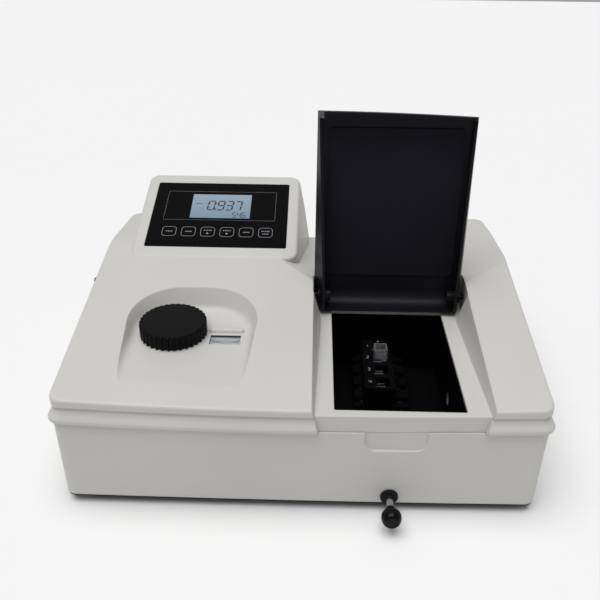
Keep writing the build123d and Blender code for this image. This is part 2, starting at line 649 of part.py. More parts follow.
with BuildPart() as grating_table:
    phase = mesh_phase(SECTOR_TEETH, SECTOR_PINION, GRATING_X, GRATING_Y)
    toward = degrees(atan2(KNOB_Y - GRATING_Y, KNOB_X - GRATING_X))
    half_teeth = 10
    first = phase - 360.0 / SECTOR_TEETH * half_teeth
    rim = gear_points(SECTOR_TEETH, GEAR_M, first, 360.0 / SECTOR_TEETH * (2 * half_teeth + 1))
    with BuildSketch(Plane.XY.offset(SECTOR_Z)):
        with Locations((GRATING_X, GRATING_Y)):
            Polygon((4, 4), (4, -4), *rim, align=None)
            Circle(9)
    extrude(amount=3)
    with Locations((GRATING_X, GRATING_Y, MONO_Z + 6.3)):
        Cylinder(12, 4, align=(Align.CENTER, Align.CENTER, Align.MIN))
    with Locations((GRATING_X, GRATING_Y, MONO_Z - 1)):
        Cylinder(4.0, SECTOR_Z + 3 - MONO_Z + 1, align=(Align.CENTER, Align.CENTER, Align.MIN))
save(grating_table, "grating_table")

with BuildPart() as grating:
    with Locations(Location((GRATING_X, GRATING_Y, BEAM_Z), (0, 0, 12))):
        with Locations((-7.0, 0, 0)):
            Box(5.8, 22, 22)
save(grating, "grating")

with BuildPart() as mirrors:
    for my, turn in ((BEAM_Y, 8), (GRATING_Y + 8, -6)):
        with Locations(Location((MONO_X0 + 16, my, BEAM_Z), (0, 0, turn))):
            Box(6, 30, 30)
        with Locations((MONO_X0 + 14, my, MONO_Z + 6)):
            Box(14, 24, BEAM_Z - 15 - MONO_Z - 6 + 0.5, align=(Align.CENTER, Align.CENTER, Align.MIN))
save(mirrors, "mono_mirrors")

with BuildPart() as slits:
    with Locations((MONO_X1 + 0.6, BEAM_Y, BEAM_Z)):
        Box(1.2, 16, 18)
        Box(3, 0.8, 9, mode=Mode.SUBTRACT)
    with Locations((LEVER_X, MONO_Y1 + 0.6, BEAM_Z)):
        Box(16, 1.2, 18)
        Box(0.8, 3, 9, mode=Mode.SUBTRACT)
save(slits, "slits")

# ================================================================ sample compartment
TUB_OUT = 3.0

with BuildPart() as tub:
    tub_w, tub_d = OPEN_X1 - OPEN_X0, OPEN_Y1 - OPEN_Y0
    tub_x, tub_y = (OPEN_X0 + OPEN_X1) / 2, (OPEN_Y0 + OPEN_Y1) / 2
    with BuildSketch(Plane.XY.offset(TUB_FLOOR - TUB_OUT)):
        with Locations((tub_x, tub_y)):
            RectangleRounded(tub_w + 2 * TUB_OUT, tub_d + 2 * TUB_OUT, 4)
    extrude(amount=TUB_TOP - TUB_FLOOR + TUB_OUT)
    with BuildSketch(Plane.XY.offset(TUB_FLOOR)):
        with Locations((tub_x, tub_y)):
            RectangleRounded(tub_w, tub_d, 1.5)
    extrude(amount=TUB_TOP - TUB_FLOOR, mode=Mode.SUBTRACT)
    for bx in (OPEN_X0 - TUB_OUT / 2, OPEN_X1 + TUB_OUT / 2):
        with Locations((bx, BEAM_Y, BEAM_Z)):
            Cylinder(7, 8, rotation=(0, 90, 0), mode=Mode.SUBTRACT)
    with Locations((ROD_X, (Y0 + 22 + Y0 + 104) / 2, TUB_FLOOR)):
        Box(12, 82, 10, mode=Mode.SUBTRACT)
save(tub, "sample_tub")

with BuildPart() as beam_windows:
    for bx in (OPEN_X0 - TUB_OUT / 2, OPEN_X1 + TUB_OUT / 2):
        with Locations((bx, BEAM_Y, BEAM_Z)):
            Cylinder(7, 2, rotation=(0, 90, 0))
save(beam_windows, "beam_windows")

with BuildPart() as rails:
    for rx in RAIL_XS:
        with Locations((rx, (OPEN_Y0 + OPEN_Y1) / 2, RAIL_Z)):
            Cylinder(RAIL_R, OPEN_Y1 - OPEN_Y0, rotation=(90, 0, 0))
save(rails, "carriage_rails")

CELL_Y0, CELL_Y1 = CELL_YS[0] - 10.0, CELL_YS[-1] + 10.0

with BuildPart() as carriage:
    block_y = (CELL_Y0 + CELL_Y1) / 2
    with Locations((72.0, block_y, (CELL_TOP + CUVETTE_Z - 2.5) / 2)):
        Box(28, CELL_Y1 - CELL_Y0, CELL_TOP - CUVETTE_Z + 2.5)
    with Locations(((RAIL_XS[0] + RAIL_XS[1]) / 2, block_y, RAIL_Z)):
        Box(RAIL_XS[1] - RAIL_XS[0] + 14, CELL_Y1 - CELL_Y0, 15)
    for rx in RAIL_XS:
        with Locations((rx, block_y, RAIL_Z)):
            Cylinder(RAIL_R + 0.06, 200, rotation=(90, 0, 0), mode=Mode.SUBTRACT)
    for cy in CELL_YS:
        with Locations((CELL_X, cy, CUVETTE_Z)):
            Box(13.3, 13.3, 60, align=(Align.CENTER, Align.CENTER, Align.MIN), mode=Mode.SUBTRACT)
        with Locations((CELL_X - 3, cy, BEAM_Z)):
            Box(60, 8, 20, mode=Mode.SUBTRACT)
    with Locations((ROD_X, CELL_Y0 + 12, (CUVETTE_Z - 2.4 + ROD_Z) / 2)):
        Box(7, 16, CUVETTE_Z - 2.4 - ROD_Z)
        with Locations((0, 0, -(CUVETTE_Z - 2.4 - ROD_Z) / 2)):
            Cylinder(5.6, 16, rotation=(90, 0, 0))
    with Locations((ROD_X, CELL_Y0, ROD_Z)):
        Cylinder(ROD_R, 90, rotation=(90, 0, 0), mode=Mode.SUBTRACT)
save(carriage, "cell_carriage")

with BuildPart() as clips:
    for cy in CELL_YS:
        with Locations((CELL_X - 3, cy - 8.2, CELL_TOP + 0.5)):
            Box(9, 1.4, 1.0)
            with Locations((0, 0, 1.7)):
                Box(7, 0.8, 3.4)
save(clips, "cell_clips")

with BuildPart() as cuvette:
    with Locations((CELL_X, CELL_YS[2], CUVETTE_Z + 0.1)):
        Box(CUVETTE_W, CUVETTE_W, CUVETTE_H, align=(Align.CENTER, Align.CENTER, Align.MIN))
        with Locations((0, 0, 1.25)):
            Box(10, 10, CUVETTE_H, align=(Align.CENTER, Align.CENTER, Align.MIN), mode=Mode.SUBTRACT)
save(cuvette, "cuvette")

with BuildPart() as pull_rod:
    with Locations((ROD_X, Y0 - 17, ROD_Z)):
        Cylinder(
            ROD_R,
            CELL_Y0 + 20 - (Y0 - 17),
            rotation=(-90, 0, 0),
            align=(Align.CENTER, Align.CENTER, Align.MIN),
        )
save(pull_rod, "pull_rod")

with BuildPart() as rod_knob:
    with BuildSketch(Plane.YZ.offset(ROD_X)):
        with BuildLine() as outline:
            Polyline(
                (Y0 - 12.0, ROD_Z),
                (Y0 - 12.0, ROD_Z + 3.4),
                (Y0 - 14.0, ROD_Z + 4.4),
                (Y0 - 19.5, ROD_Z + 8.0),
            )
            Spline((Y0 - 19.5, ROD_Z + 8.0), (Y0 - 23.5, ROD_Z + 8.5), (Y0 - 28.0, ROD_Z + 7.0))
            Polyline(
                (Y0 - 28.0, ROD_Z + 7.0),
                (Y0 - 29.2, ROD_Z + 5.6),
                (Y0 - 29.2, ROD_Z),
                (Y0 - 12.0, ROD_Z),
            )
        make_face(outline.edges())
    revolve(axis=Axis((ROD_X, 0, ROD_Z), (0, 1, 0)))
    # flutes for the fingers and the seat of the rod
    with Locations(Location((ROD_X, Y0 - 24.0, ROD_Z), (90, 0, 0))):
        with PolarLocations(9.3, 14):
            Cylinder(1.3, 16, mode=Mode.SUBTRACT)
    with Locations((ROD_X, Y0 - 12.0, ROD_Z)):
        Cylinder(ROD_R, 10, rotation=(90, 0, 0), mode=Mode.SUBTRACT)
save(rod_knob, "rod_knob")

with BuildPart() as escutcheon:
    with Locations((ROD_X, Y0 + 0.3, ROD_Z)):
        Cylinder(7.7, 1.6, rotation=(-90, 0, 0), align=(Align.CENTER, Align.CENTER, Align.MIN))
        Cylinder(4.9, 9, rotation=(-90, 0, 0), align=(Align.CENTER, Align.CENTER, Align.MIN))
        Cylinder(ROD_R + 0.06, 40, rotation=(90, 0, 0), mode=Mode.SUBTRACT)
save(escutcheon, "rod_escutcheon")

with BuildPart() as rod_guide:
    with Locations((ROD_X, Y0 + 15.5, FOOT_H + BASE_T)):
        Box(18, 8, ROD_Z + 6 - FOOT_H - BASE_T, align=(Align.CENTER, Align.CENTER, Align.MIN))
    with Locations((ROD_X, Y0 + 15.5, ROD_Z)):
        Cylinder(ROD_R + 0.06, 20, rotation=(90, 0, 0), mode=Mode.SUBTRACT)
save(rod_guide, "rod_guide")

with BuildPart() as detector:
    with Locations((OPEN_X1 + TUB_OUT, BEAM_Y, FOOT_H + BASE_T)):
        Box(44, 52, 66, align=(Align.MIN, Align.CENTER, Align.MIN))
    with Locations((OPEN_X1 + TUB_OUT + 10, BEAM_Y, BEAM_Z)):
        Cylinder(5, 22, rotation=(0, 90, 0), mode=Mode.SUBTRACT)
save(detector, "detector_box")

with BuildPart() as photodiode:
    with Locations((OPEN_X1 + TUB_OUT + 16, BEAM_Y, BEAM_Z)):
        Cylinder(4.8, 3, rotation=(0, 90, 0))
save(photodiode, "photodiode")

# ================================================================ lamps and selector
LAMP_X0, LAMP_X1 = -197.0, -120.0
LAMP_Y0, LAMP_Y1 = Y0 + 180.5, Y0 + 306.0
LAMP_TOP = FOOT_H + 86.0

with BuildPart() as lamp_housing:
    with Locations(((LAMP_X0 + LAMP_X1) / 2, (LAMP_Y0 + LAMP_Y1) / 2, FOOT_H + BASE_T)):
        Box(LAMP_X1 - LAMP_X0, LAMP_Y1 - LAMP_Y0, 4, align=(Align.CENTER, Align.CENTER, Align.MIN))
        with Locations((0, (LAMP_Y1 - LAMP_Y0) / 2 - 1, 0)):
            Box(LAMP_X1 - LAMP_X0, 2, 60, align=(Align.CENTER, Align.CENTER, Align.MIN))
        with Locations(((LAMP_X1 - LAMP_X0) / 2 - 1, 0, 0)):
            Box(2, LAMP_Y1 - LAMP_Y0, 60, align=(Align.CENTER, Align.CENTER, Align.MIN))
    with Locations(((LAMP_X0 + LAMP_X1) / 2, LAMP_Y1, FAN_Z)):
        with GridLocations(9, 0, 6, 1):
            Box(5, 10, 34, mode=Mode.SUBTRACT)
    with Locations((LEVER_X, LEVER_Y, FOOT_H + BASE_T + 4)):
        Cylinder(7, 14, align=(Align.CENTER, Align.CENTER, Align.MIN))
        Cylinder(3.06, 60, mode=Mode.SUBTRACT)
save(lamp_housing, "lamp_housing")

with BuildPart() as tungsten_lamp:
    with Locations((LEVER_X + 26, LAMP_Y0 + 77, FOOT_H + BASE_T + 4)):
        Cylinder(8, 14, align=(Align.CENTER, Align.CENTER, Align.MIN))
        Cylinder(5.5, 30, align=(Align.CENTER, Align.CENTER, Align.MIN))
        with Locations((0, 0, 30)):
            Sphere(5.5)
save(tungsten_lamp, "tungsten_lamp")

with BuildPart() as deuterium_lamp:
    with Locations((LEVER_X - 8, LAMP_Y0 + 88, FOOT_H + BASE_T + 4)):
        Cylinder(15, 6, align=(Align.CENTER, Align.CENTER, Align.MIN))
        Cylinder(12, 52, align=(Align.CENTER, Align.CENTER, Align.MIN))
        with Locations((0, 0, 52)):
            Sphere(12)
save(deuterium_lamp, "deuterium_lamp")

with BuildPart() as lamp_mirror:
    with Locations((LEVER_X, LEVER_Y, FOOT_H + BASE_T + 6)):
        Cylinder(3.0, LEVER_Z - FOOT_H - BASE_T - 6, align=(Align.CENTER, Align.CENTER, Align.MIN))
    with Locations(Location((LEVER_X, LEVER_Y, BEAM_Z), (0, 0, 20))):
        Box(18, 8, 20)
    with Locations((LEVER_X, LEVER_Y, FOOT_H + BASE_T + 18.3)):
        Cylinder(6, 5, align=(Align.CENTER, Align.CENTER, Align.MIN))
save(lamp_mirror, "lamp_mirror")

with BuildPart() as selector_lever:
    reach = sqrt((LEVER_END_X - LEVER_X) ** 2 + (LEVER_END_Y - LEVER_Y) ** 2)
    heading = degrees(atan2(LEVER_END_Y - LEVER_Y, LEVER_END_X - LEVER_X))
    along_bar = (cos(radians(heading)), sin(radians(heading)), 0)
    with BuildSketch(Plane((LEVER_X, LEVER_Y, LEVER_Z), x_dir=along_bar)):
        with Locations((reach / 2, 0)):
            Rectangle(reach, LEVER_WIDTH)
        Circle(7)
    extrude(amount=3)
    with Locations((LEVER_END_X, LEVER_END_Y, LEVER_Z + 1.5)):
        Sphere(LEVER_BALL_R, rotation=(0, 0, heading))
save(selector_lever, "selector_lever")

# ================================================================ power and electronics
with BuildPart() as transformer:
    with Locations((150, Y0 + 268, FOOT_H + BASE_T)):
        Box(66, 44, 56, align=(Align.CENTER, Align.CENTER, Align.MIN))
        with Locations((0, 0, 28)):
            Box(40, 62, 38)
save(transformer, "transformer")

with BuildPart() as main_board:
    with Locations((-5, Y0 + 262, FOOT_H + BASE_T)):
        with GridLocations(150, 96, 2, 2):
            Cylinder(3, 8, align=(Align.CENTER, Align.CENTER, Align.MIN))
        with Locations((0, 0, 8)):
            Box(164, 110, 1.6, align=(Align.CENTER, Align.CENTER, Align.MIN))
        for cx, cy, width, depth, height in (
            (-40, 10, 24, 24, 4),
            (0, 18, 30, 12, 5),
            (36, -20, 18, 18, 12),
            (-50, -32, 14, 30, 9),
            (10, -26, 34, 9, 4),
        ):
            with Locations((cx, cy, 9.6)):
                Box(width, depth, height, align=(Align.CENTER, Align.CENTER, Align.MIN))
save(main_board, "main_board")

BACK = REAR - WALL

with BuildPart() as power_inlet:
    with Locations((INLET_X, BACK - 16, SOCKET_Z)):
        Box(27.2, 32, 20.2)
    with Locations((INLET_X, BACK + 0.9, SOCKET_Z)):
        Box(48, 1.8, 24)
    with Locations((INLET_X, BACK + 1.8, SOCKET_Z)):
        Box(23, 36, 15.6, mode=Mode.SUBTRACT)
    for px, pz in ((-7, -2.4), (7, -2.4), (0, 2.6)):
        with Locations((INLET_X + px, BACK - 17, SOCKET_Z + pz)):
            Box(2, 12.5, 4, align=(Align.CENTER, Align.MIN, Align.CENTER))
save(power_inlet, "power_inlet")

ROCKER_Y = BACK - 1.0
with BuildPart() as switch_body:
    with Locations((SWITCH_X, BACK, SOCKET_Z)):
        Box(15.4, 1.8, 21.4, align=(Align.CENTER, Align.MIN, Align.CENTER))
        Box(13.0, 16, 19.2, align=(Align.CENTER, Align.MAX, Align.CENTER))
    with Locations((SWITCH_X, BACK + 2, SOCKET_Z)):
        Box(10.4, 18, 17.0, align=(Align.CENTER, Align.MAX, Align.CENTER), mode=Mode.SUBTRACT)
save(switch_body, "switch_body")

with BuildPart() as power_rocker:
    with BuildSketch(Plane.YZ.offset(SWITCH_X - 5.0)):
        with Locations((ROCKER_Y, SOCKET_Z)):
            Polygon((-5, -3), (2.2, -7.6), (4.6, -7.4), (2.4, 0), (4.6, 7.4), (2.2, 7.6), (-5, 3), align=None)
    extrude(amount=10.0)
    with Locations((SWITCH_X, ROCKER_Y, SOCKET_Z)):
        Cylinder(1.2, 12, rotation=(0, 90, 0), mode=Mode.SUBTRACT)
save(power_rocker, "power_rocker")

with BuildPart() as rocker_pin:
    with Locations((SWITCH_X, ROCKER_Y, SOCKET_Z)):
        Cylinder(1.14, 10.4, rotation=(0, 90, 0))
save(rocker_pin, "rocker_pin")

with BuildPart() as fuse_holder:
    with Locations((FUSE_X, BACK - 28, SOCKET_Z)):
        Cylinder(6.4, 30, rotation=(-90, 0, 0), align=(Align.CENTER, Align.CENTER, Align.MIN))
    with Locations((FUSE_X, BACK, SOCKET_Z)):
        Cylinder(8.0, 2.4, rotation=(-90, 0, 0), align=(Align.CENTER, Align.CENTER, Align.MIN))
    with Locations((FUSE_X, BACK + 2.4, SOCKET_Z)):
        Box(9, 1.4, 1.4, mode=Mode.SUBTRACT)
save(fuse_holder, "fuse_holder")

with BuildPart() as serial_port:
    with Locations((PORT_X, BACK - 6, SOCKET_Z)):
        Box(19.6, 12, 10.0)
    with Locations((PORT_X, BACK + 0.5, SOCKET_Z)):
        Box(31, 1.0, 12.5)
    with BuildSketch(Plane.XZ.offset(-(BACK + 1.0))):
        with Locations((PORT_X, SOCKET_Z)):
            Trapezoid(17, 8.4, 80, rotation=180)
    extrude(amount=-4.0)
    with BuildSketch(Plane.XZ.offset(-(BACK + 5.0))):
        with Locations((PORT_X, SOCKET_Z)):
            Trapezoid(15.8, 7.2, 80, rotation=180)
    extrude(amount=5.0, mode=Mode.SUBTRACT)
save(serial_port, "serial_port")

FAN_Y1 = BACK - 1.8

with BuildPart() as fan_frame:
    with BuildSketch(Plane.XZ.offset(-FAN_Y1)):
        with Locations((FAN_X, FAN_Z)):
            RectangleRounded(FAN_SIZE, FAN_SIZE, 4)
            Circle(27.5, mode=Mode.SUBTRACT)
            with GridLocations(50, 50, 2, 2):
                Circle(2.2, mode=Mode.SUBTRACT)
    extrude(amount=FAN_T)
    with BuildSketch(Plane.XZ.offset(-(FAN_Y1 - FAN_T))):
        with Locations((FAN_X, FAN_Z)):
            Circle(11)
            Rectangle(58, 4)
            Rectangle(4, 58)
    extrude(amount=-2.0)
    with Locations((FAN_X, FAN_Y1 - FAN_T, FAN_Z)):
        Cylinder(1.5, 11, rotation=(-90, 0, 0), align=(Align.CENTER, Align.CENTER, Align.MIN))
save(fan_frame, "fan_frame")

with BuildPart() as fan_rotor:
    with Locations((FAN_X, FAN_Y1 - FAN_T + 2.6, FAN_Z)):
        Cylinder(11, 10.4, rotation=(-90, 0, 0), align=(Align.CENTER, Align.CENTER, Align.MIN))
    for blade in range(7):
        angle = 360.0 / 7 * blade
        with Locations(Location((FAN_X, FAN_Y1 - FAN_T + 7.6, FAN_Z), (0, angle, 0))):
            with Locations(Location((18, 0, 0), (32, 0, 0))):
                Box(17, 1.4, 12)
    with Locations((FAN_X, FAN_Y1 - FAN_T - 1, FAN_Z)):
        Cylinder(1.56, 40, rotation=(-90, 0, 0), mode=Mode.SUBTRACT)
save(fan_rotor, "fan_rotor")

with BuildPart() as fan_guard:
    with BuildSketch(Plane.XZ.offset(-BACK)):
        with Locations((FAN_X, FAN_Z)):
            for radius in (28.5, 22.5, 16.5, 10.5, 4.5):
                Circle(radius)
                Circle(radius - 1.6, mode=Mode.SUBTRACT)
            Rectangle(72, 1.8, rotation=45)
            Rectangle(72, 1.8, rotation=-45)
            with GridLocations(50, 50, 2, 2):
                Circle(3.6)
    extrude(amount=-1.6)
save(fan_guard, "fan_guard")
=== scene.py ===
import json
import logging
import math
from dataclasses import dataclass, field
from enum import Enum

import bmesh
import bpy
from mathutils import Matrix, Vector


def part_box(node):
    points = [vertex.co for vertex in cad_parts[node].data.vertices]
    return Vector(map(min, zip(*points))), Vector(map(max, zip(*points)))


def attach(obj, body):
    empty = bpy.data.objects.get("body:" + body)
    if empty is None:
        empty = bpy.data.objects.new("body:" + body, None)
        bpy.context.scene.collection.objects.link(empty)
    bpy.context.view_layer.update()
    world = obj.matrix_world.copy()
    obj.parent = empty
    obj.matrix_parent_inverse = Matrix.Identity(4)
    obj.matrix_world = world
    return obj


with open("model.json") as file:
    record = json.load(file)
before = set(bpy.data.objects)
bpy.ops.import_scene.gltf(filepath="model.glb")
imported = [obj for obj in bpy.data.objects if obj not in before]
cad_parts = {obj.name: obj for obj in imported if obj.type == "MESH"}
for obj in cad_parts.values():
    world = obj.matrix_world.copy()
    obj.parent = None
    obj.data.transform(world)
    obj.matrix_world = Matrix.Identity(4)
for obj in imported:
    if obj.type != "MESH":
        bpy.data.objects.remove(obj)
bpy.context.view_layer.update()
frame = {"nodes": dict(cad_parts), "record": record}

# A bench spectrophotometer.  Lengths in metres, X to the right, Y to the back, Z up, ground at Z = 0.

log = logging.getLogger("spectrophotometer")

Colour = tuple[float, float, float]
Outline = list[tuple[float, float]]
Shapes = list[Outline]

PRINT_THICKNESS = 0.00006
TEXTURE_COLUMN = 190
TEXTURE_ROW = 170


def tone(red: int, green: int, blue: int) -> Colour:
    """Turn a display colour into the linear colour that a shader takes.

    Args:
        red: display red, 0 to 255.
        green: display green, 0 to 255.
        blue: display blue, 0 to 255.

    Returns:
        The three linear parts.
    """
    parts = [value / 255 for value in (red, green, blue)]
    return tuple(p / 12.92 if p <= 0.04045 else ((p + 0.055) / 1.055) ** 2.4 for p in parts)


def opaque(colour: Colour) -> tuple[float, float, float, float]:
    """Add a full alpha to a linear colour."""
    return (*colour, 1.0)


def lay_out(tree: bpy.types.NodeTree, groups: dict[str, list[bpy.types.Node]]) -> None:
    """Put the nodes of each effect in a labelled frame, one row for each effect.

    Args:
        tree: the node tree.
        groups: nodes from left to right under the name of what they do together.
    """
    for row, (title, members) in enumerate(groups.items()):
        box = tree.nodes.new("NodeFrame")
        box.label = title
        for column, node in enumerate(members):
            node.location = (column * TEXTURE_COLUMN, -row * TEXTURE_ROW * 2)
            node.parent = box


# ------------------------------------------------------------------------------ finishes
@dataclass(frozen=True)
class Moulded:
    """Moulded, painted or rubber surface: a fine grain, a slow mottle, and paler edges that are partly
    scuffed and partly a painted highlight.
    """

    colour: Colour
    shade: float = 0.93
    roughness: float = 0.42
    grain: float = 0.0011
    depth: float = 0.00004
    edge: float = 0.0007
    # How far the edges are lifted towards a paler tone: partly scuffs, partly a painted edge highlight.
    edge_scuff_and_highlight: float = 0.12
    specular: float = 0.5
    coat: float = 0.0
    # Glow makes the surface give out its own colour as light. On the scale face this is painted light
    # that lifts the face out of the shade under the cover.
    glow: float = 0.0

    def make(self, name: str) -> bpy.types.Material:
        """Write the finish as a node material.

        Args:
            name: name of the material.

        Returns:
            The material.
        """
        return moulded_material(name, self)


@dataclass(frozen=True)
class Metal:
    """Bare or plated metal: drawn lines along one axis, small stains and soft edges."""

    colour: Colour
    roughness: float = 0.28
    lines: tuple[float, float, float] = (900.0, 60.0, 900.0)
    scratch: float = 0.00002
    edge: float = 0.0004
    anisotropy: float = 0.3

    def make(self, name: str) -> bpy.types.Material:
        """Write the finish as a node material.

        Args:
            name: name of the material.

        Returns:
            The material.
        """
        return metal_material(name, self)


@dataclass(frozen=True)
class Clear:
    """Glass, quartz or clear plastic with faint smears."""

    colour: Colour = (0.93, 0.96, 0.97)
    ior: float = 1.46
    roughness: float = 0.03
    smear: float = 40.0
    clarity: float = 1.0

    def make(self, name: str) -> bpy.types.Material:
        """Write the finish as a node material.

        Args:
            name: name of the material.

        Returns:
            The material.
        """
        return clear_material(name, self)


@dataclass(frozen=True)
class Display:
    """Back-lit liquid crystal: a pale field that darkens downwards, under a fine lattice."""

    top: Colour = tone(139, 157, 172)
    foot: Colour = tone(112, 136, 153)
    tilt: float = math.radians(16.4)
    lattice: float = 0.0006
    glow: float = 0.08

    def make(self, name: str) -> bpy.types.Material:
        """Write the finish as a node material.

        Args:
            name: name of the material.

        Returns:
            The material.
        """
        return display_material(name, self)


@dataclass(frozen=True)
class Board:
    """Circuit board: green resist over a grid of tracks."""

    resist: Colour = (0.012, 0.09, 0.035)
    track: Colour = (0.03, 0.17, 0.06)
    pitch: float = 0.0025

    def make(self, name: str) -> bpy.types.Material:
        """Write the finish as a node material.

        Args:
            name: name of the material.

        Returns:
            The material.
        """
        return board_material(name, self)


@dataclass(frozen=True)
class Ruled:
    """Ruled grating: metal whose colour runs through the rainbow with the angle."""

    base: Colour = (0.75, 0.77, 0.8)
    ruling: float = 0.0005

    def make(self, name: str) -> bpy.types.Material:
        """Write the finish as a node material.

        Args:
            name: name of the material.

        Returns:
            The material.
        """
        return ruled_material(name, self)


def moulded_material(name: str, finish: Moulded) -> bpy.types.Material:
    """Make a moulded, painted or rubber surface.

    Args:
        name: name of the material.
        finish: colour, grain, and paler edges that are partly scuffed and partly a painted highlight.

    Returns:
        The material.
    """
    material = bpy.data.materials.new(name)
    material.use_nodes = True
    tree = material.node_tree
    nodes, links = tree.nodes, tree.links
    nodes.clear()
    place = nodes.new("ShaderNodeTexCoord")
    place.label = "place on the piece"
    mottle = nodes.new("ShaderNodeTexNoise")
    mottle.label = "slow mottle of the moulding"
    mottle.inputs["Scale"].default_value = 11.0
    mottle.inputs["Detail"].default_value = 4.0
    spread = nodes.new("ShaderNodeMapRange")
    spread.label = "how far the mottle reaches"
    spread.inputs["From Min"].default_value = 0.3
    spread.inputs["From Max"].default_value = 0.7
    tint = nodes.new("ShaderNodeMix")
    tint.label = "mottled colour"
    tint.data_type = "RGBA"
    tint.inputs["A"].default_value = opaque(tuple(c * finish.shade for c in finish.colour))
    tint.inputs["B"].default_value = opaque(finish.colour)
    rounded = nodes.new("ShaderNodeBevel")
    rounded.label = "softened edges"
    rounded.samples = 4
    rounded.inputs["Radius"].default_value = finish.edge
    facing = nodes.new("ShaderNodeNewGeometry")
    facing.label = "true face direction"
    turn = nodes.new("ShaderNodeVectorMath")
    turn.label = "where an edge turns"
    turn.operation = "DOT_PRODUCT"
    # Paler colour where the softened normal turns away from the true one: partly scuffs, partly a painted
    # edge highlight.
    scuff_and_highlight_mask = nodes.new("ShaderNodeMapRange")
    scuff_and_highlight_mask.label = "strength of scuffed and highlighted edges"
    scuff_and_highlight_mask.inputs["From Min"].default_value = 0.80
    scuff_and_highlight_mask.inputs["From Max"].default_value = 0.98
    scuff_and_highlight_mask.inputs["To Min"].default_value = finish.edge_scuff_and_highlight
    scuff_and_highlight_mask.inputs["To Max"].default_value = 0.0
    scuffed_and_highlit_edges = nodes.new("ShaderNodeMix")
    scuffed_and_highlit_edges.label = "paler edges: scuffs and painted highlight"
    scuffed_and_highlit_edges.data_type = "RGBA"
    scuffed_and_highlit_edges.inputs["B"].default_value = opaque(tuple(0.55 + 0.45 * c for c in finish.colour))
    grain = nodes.new("ShaderNodeTexNoise")
    grain.label = "fine spark-eroded grain"
    grain.inputs["Scale"].default_value = 1.0 / finish.grain
    grain.inputs["Detail"].default_value = 2.0
    gloss = nodes.new("ShaderNodeMapRange")
    gloss.label = "gloss between the grains"
    gloss.inputs["To Min"].default_value = max(0.02, finish.roughness - 0.07)
    gloss.inputs["To Max"].default_value = finish.roughness + 0.07
    relief = nodes.new("ShaderNodeBump")
    relief.label = "grain relief"
    relief.inputs["Strength"].default_value = 0.6
    relief.inputs["Distance"].default_value = finish.depth
    surface = nodes.new("ShaderNodeBsdfPrincipled")
    surface.label = "moulded surface"
    surface.inputs["Specular IOR Level"].default_value = finish.specular
    surface.inputs["Coat Weight"].default_value = finish.coat
    surface.inputs["Coat Roughness"].default_value = 0.12
    # Emission of the surface's own colour: painted light wherever a Moulded finish sets a glow.
    surface.inputs["Emission Color"].default_value = opaque(finish.colour)
    surface.inputs["Emission Strength"].default_value = finish.glow
    output = nodes.new("ShaderNodeOutputMaterial")
    output.label = "finish"
    links.new(place.outputs["Object"], mottle.inputs["Vector"])
    links.new(place.outputs["Object"], grain.inputs["Vector"])
    links.new(mottle.outputs["Fac"], spread.inputs["Value"])
    links.new(spread.outputs["Result"], tint.inputs["Factor"])
    links.new(rounded.outputs["Normal"], turn.inputs[0])
    links.new(facing.outputs["Normal"], turn.inputs[1])
    links.new(turn.outputs["Value"], scuff_and_highlight_mask.inputs["Value"])
    links.new(scuff_and_highlight_mask.outputs["Result"], scuffed_and_highlit_edges.inputs["Factor"])
    links.new(tint.outputs["Result"], scuffed_and_highlit_edges.inputs["A"])
    links.new(grain.outputs["Fac"], gloss.inputs["Value"])
    links.new(grain.outputs["Fac"], relief.inputs["Height"])
    links.new(rounded.outputs["Normal"], relief.inputs["Normal"])
    links.new(scuffed_and_highlit_edges.outputs["Result"], surface.inputs["Base Color"])
    links.new(gloss.outputs["Result"], surface.inputs["Roughness"])
    links.new(relief.outputs["Normal"], surface.inputs["Normal"])
    links.new(surface.outputs["BSDF"], output.inputs["Surface"])
    lay_out(
        tree,
        {
            "colour": [place, mottle, spread, tint],
            "edges": [rounded, facing, turn, scuff_and_highlight_mask, scuffed_and_highlit_edges],
            "grain": [grain, gloss, relief],
            "surface": [surface, output],
        },
    )
    return material


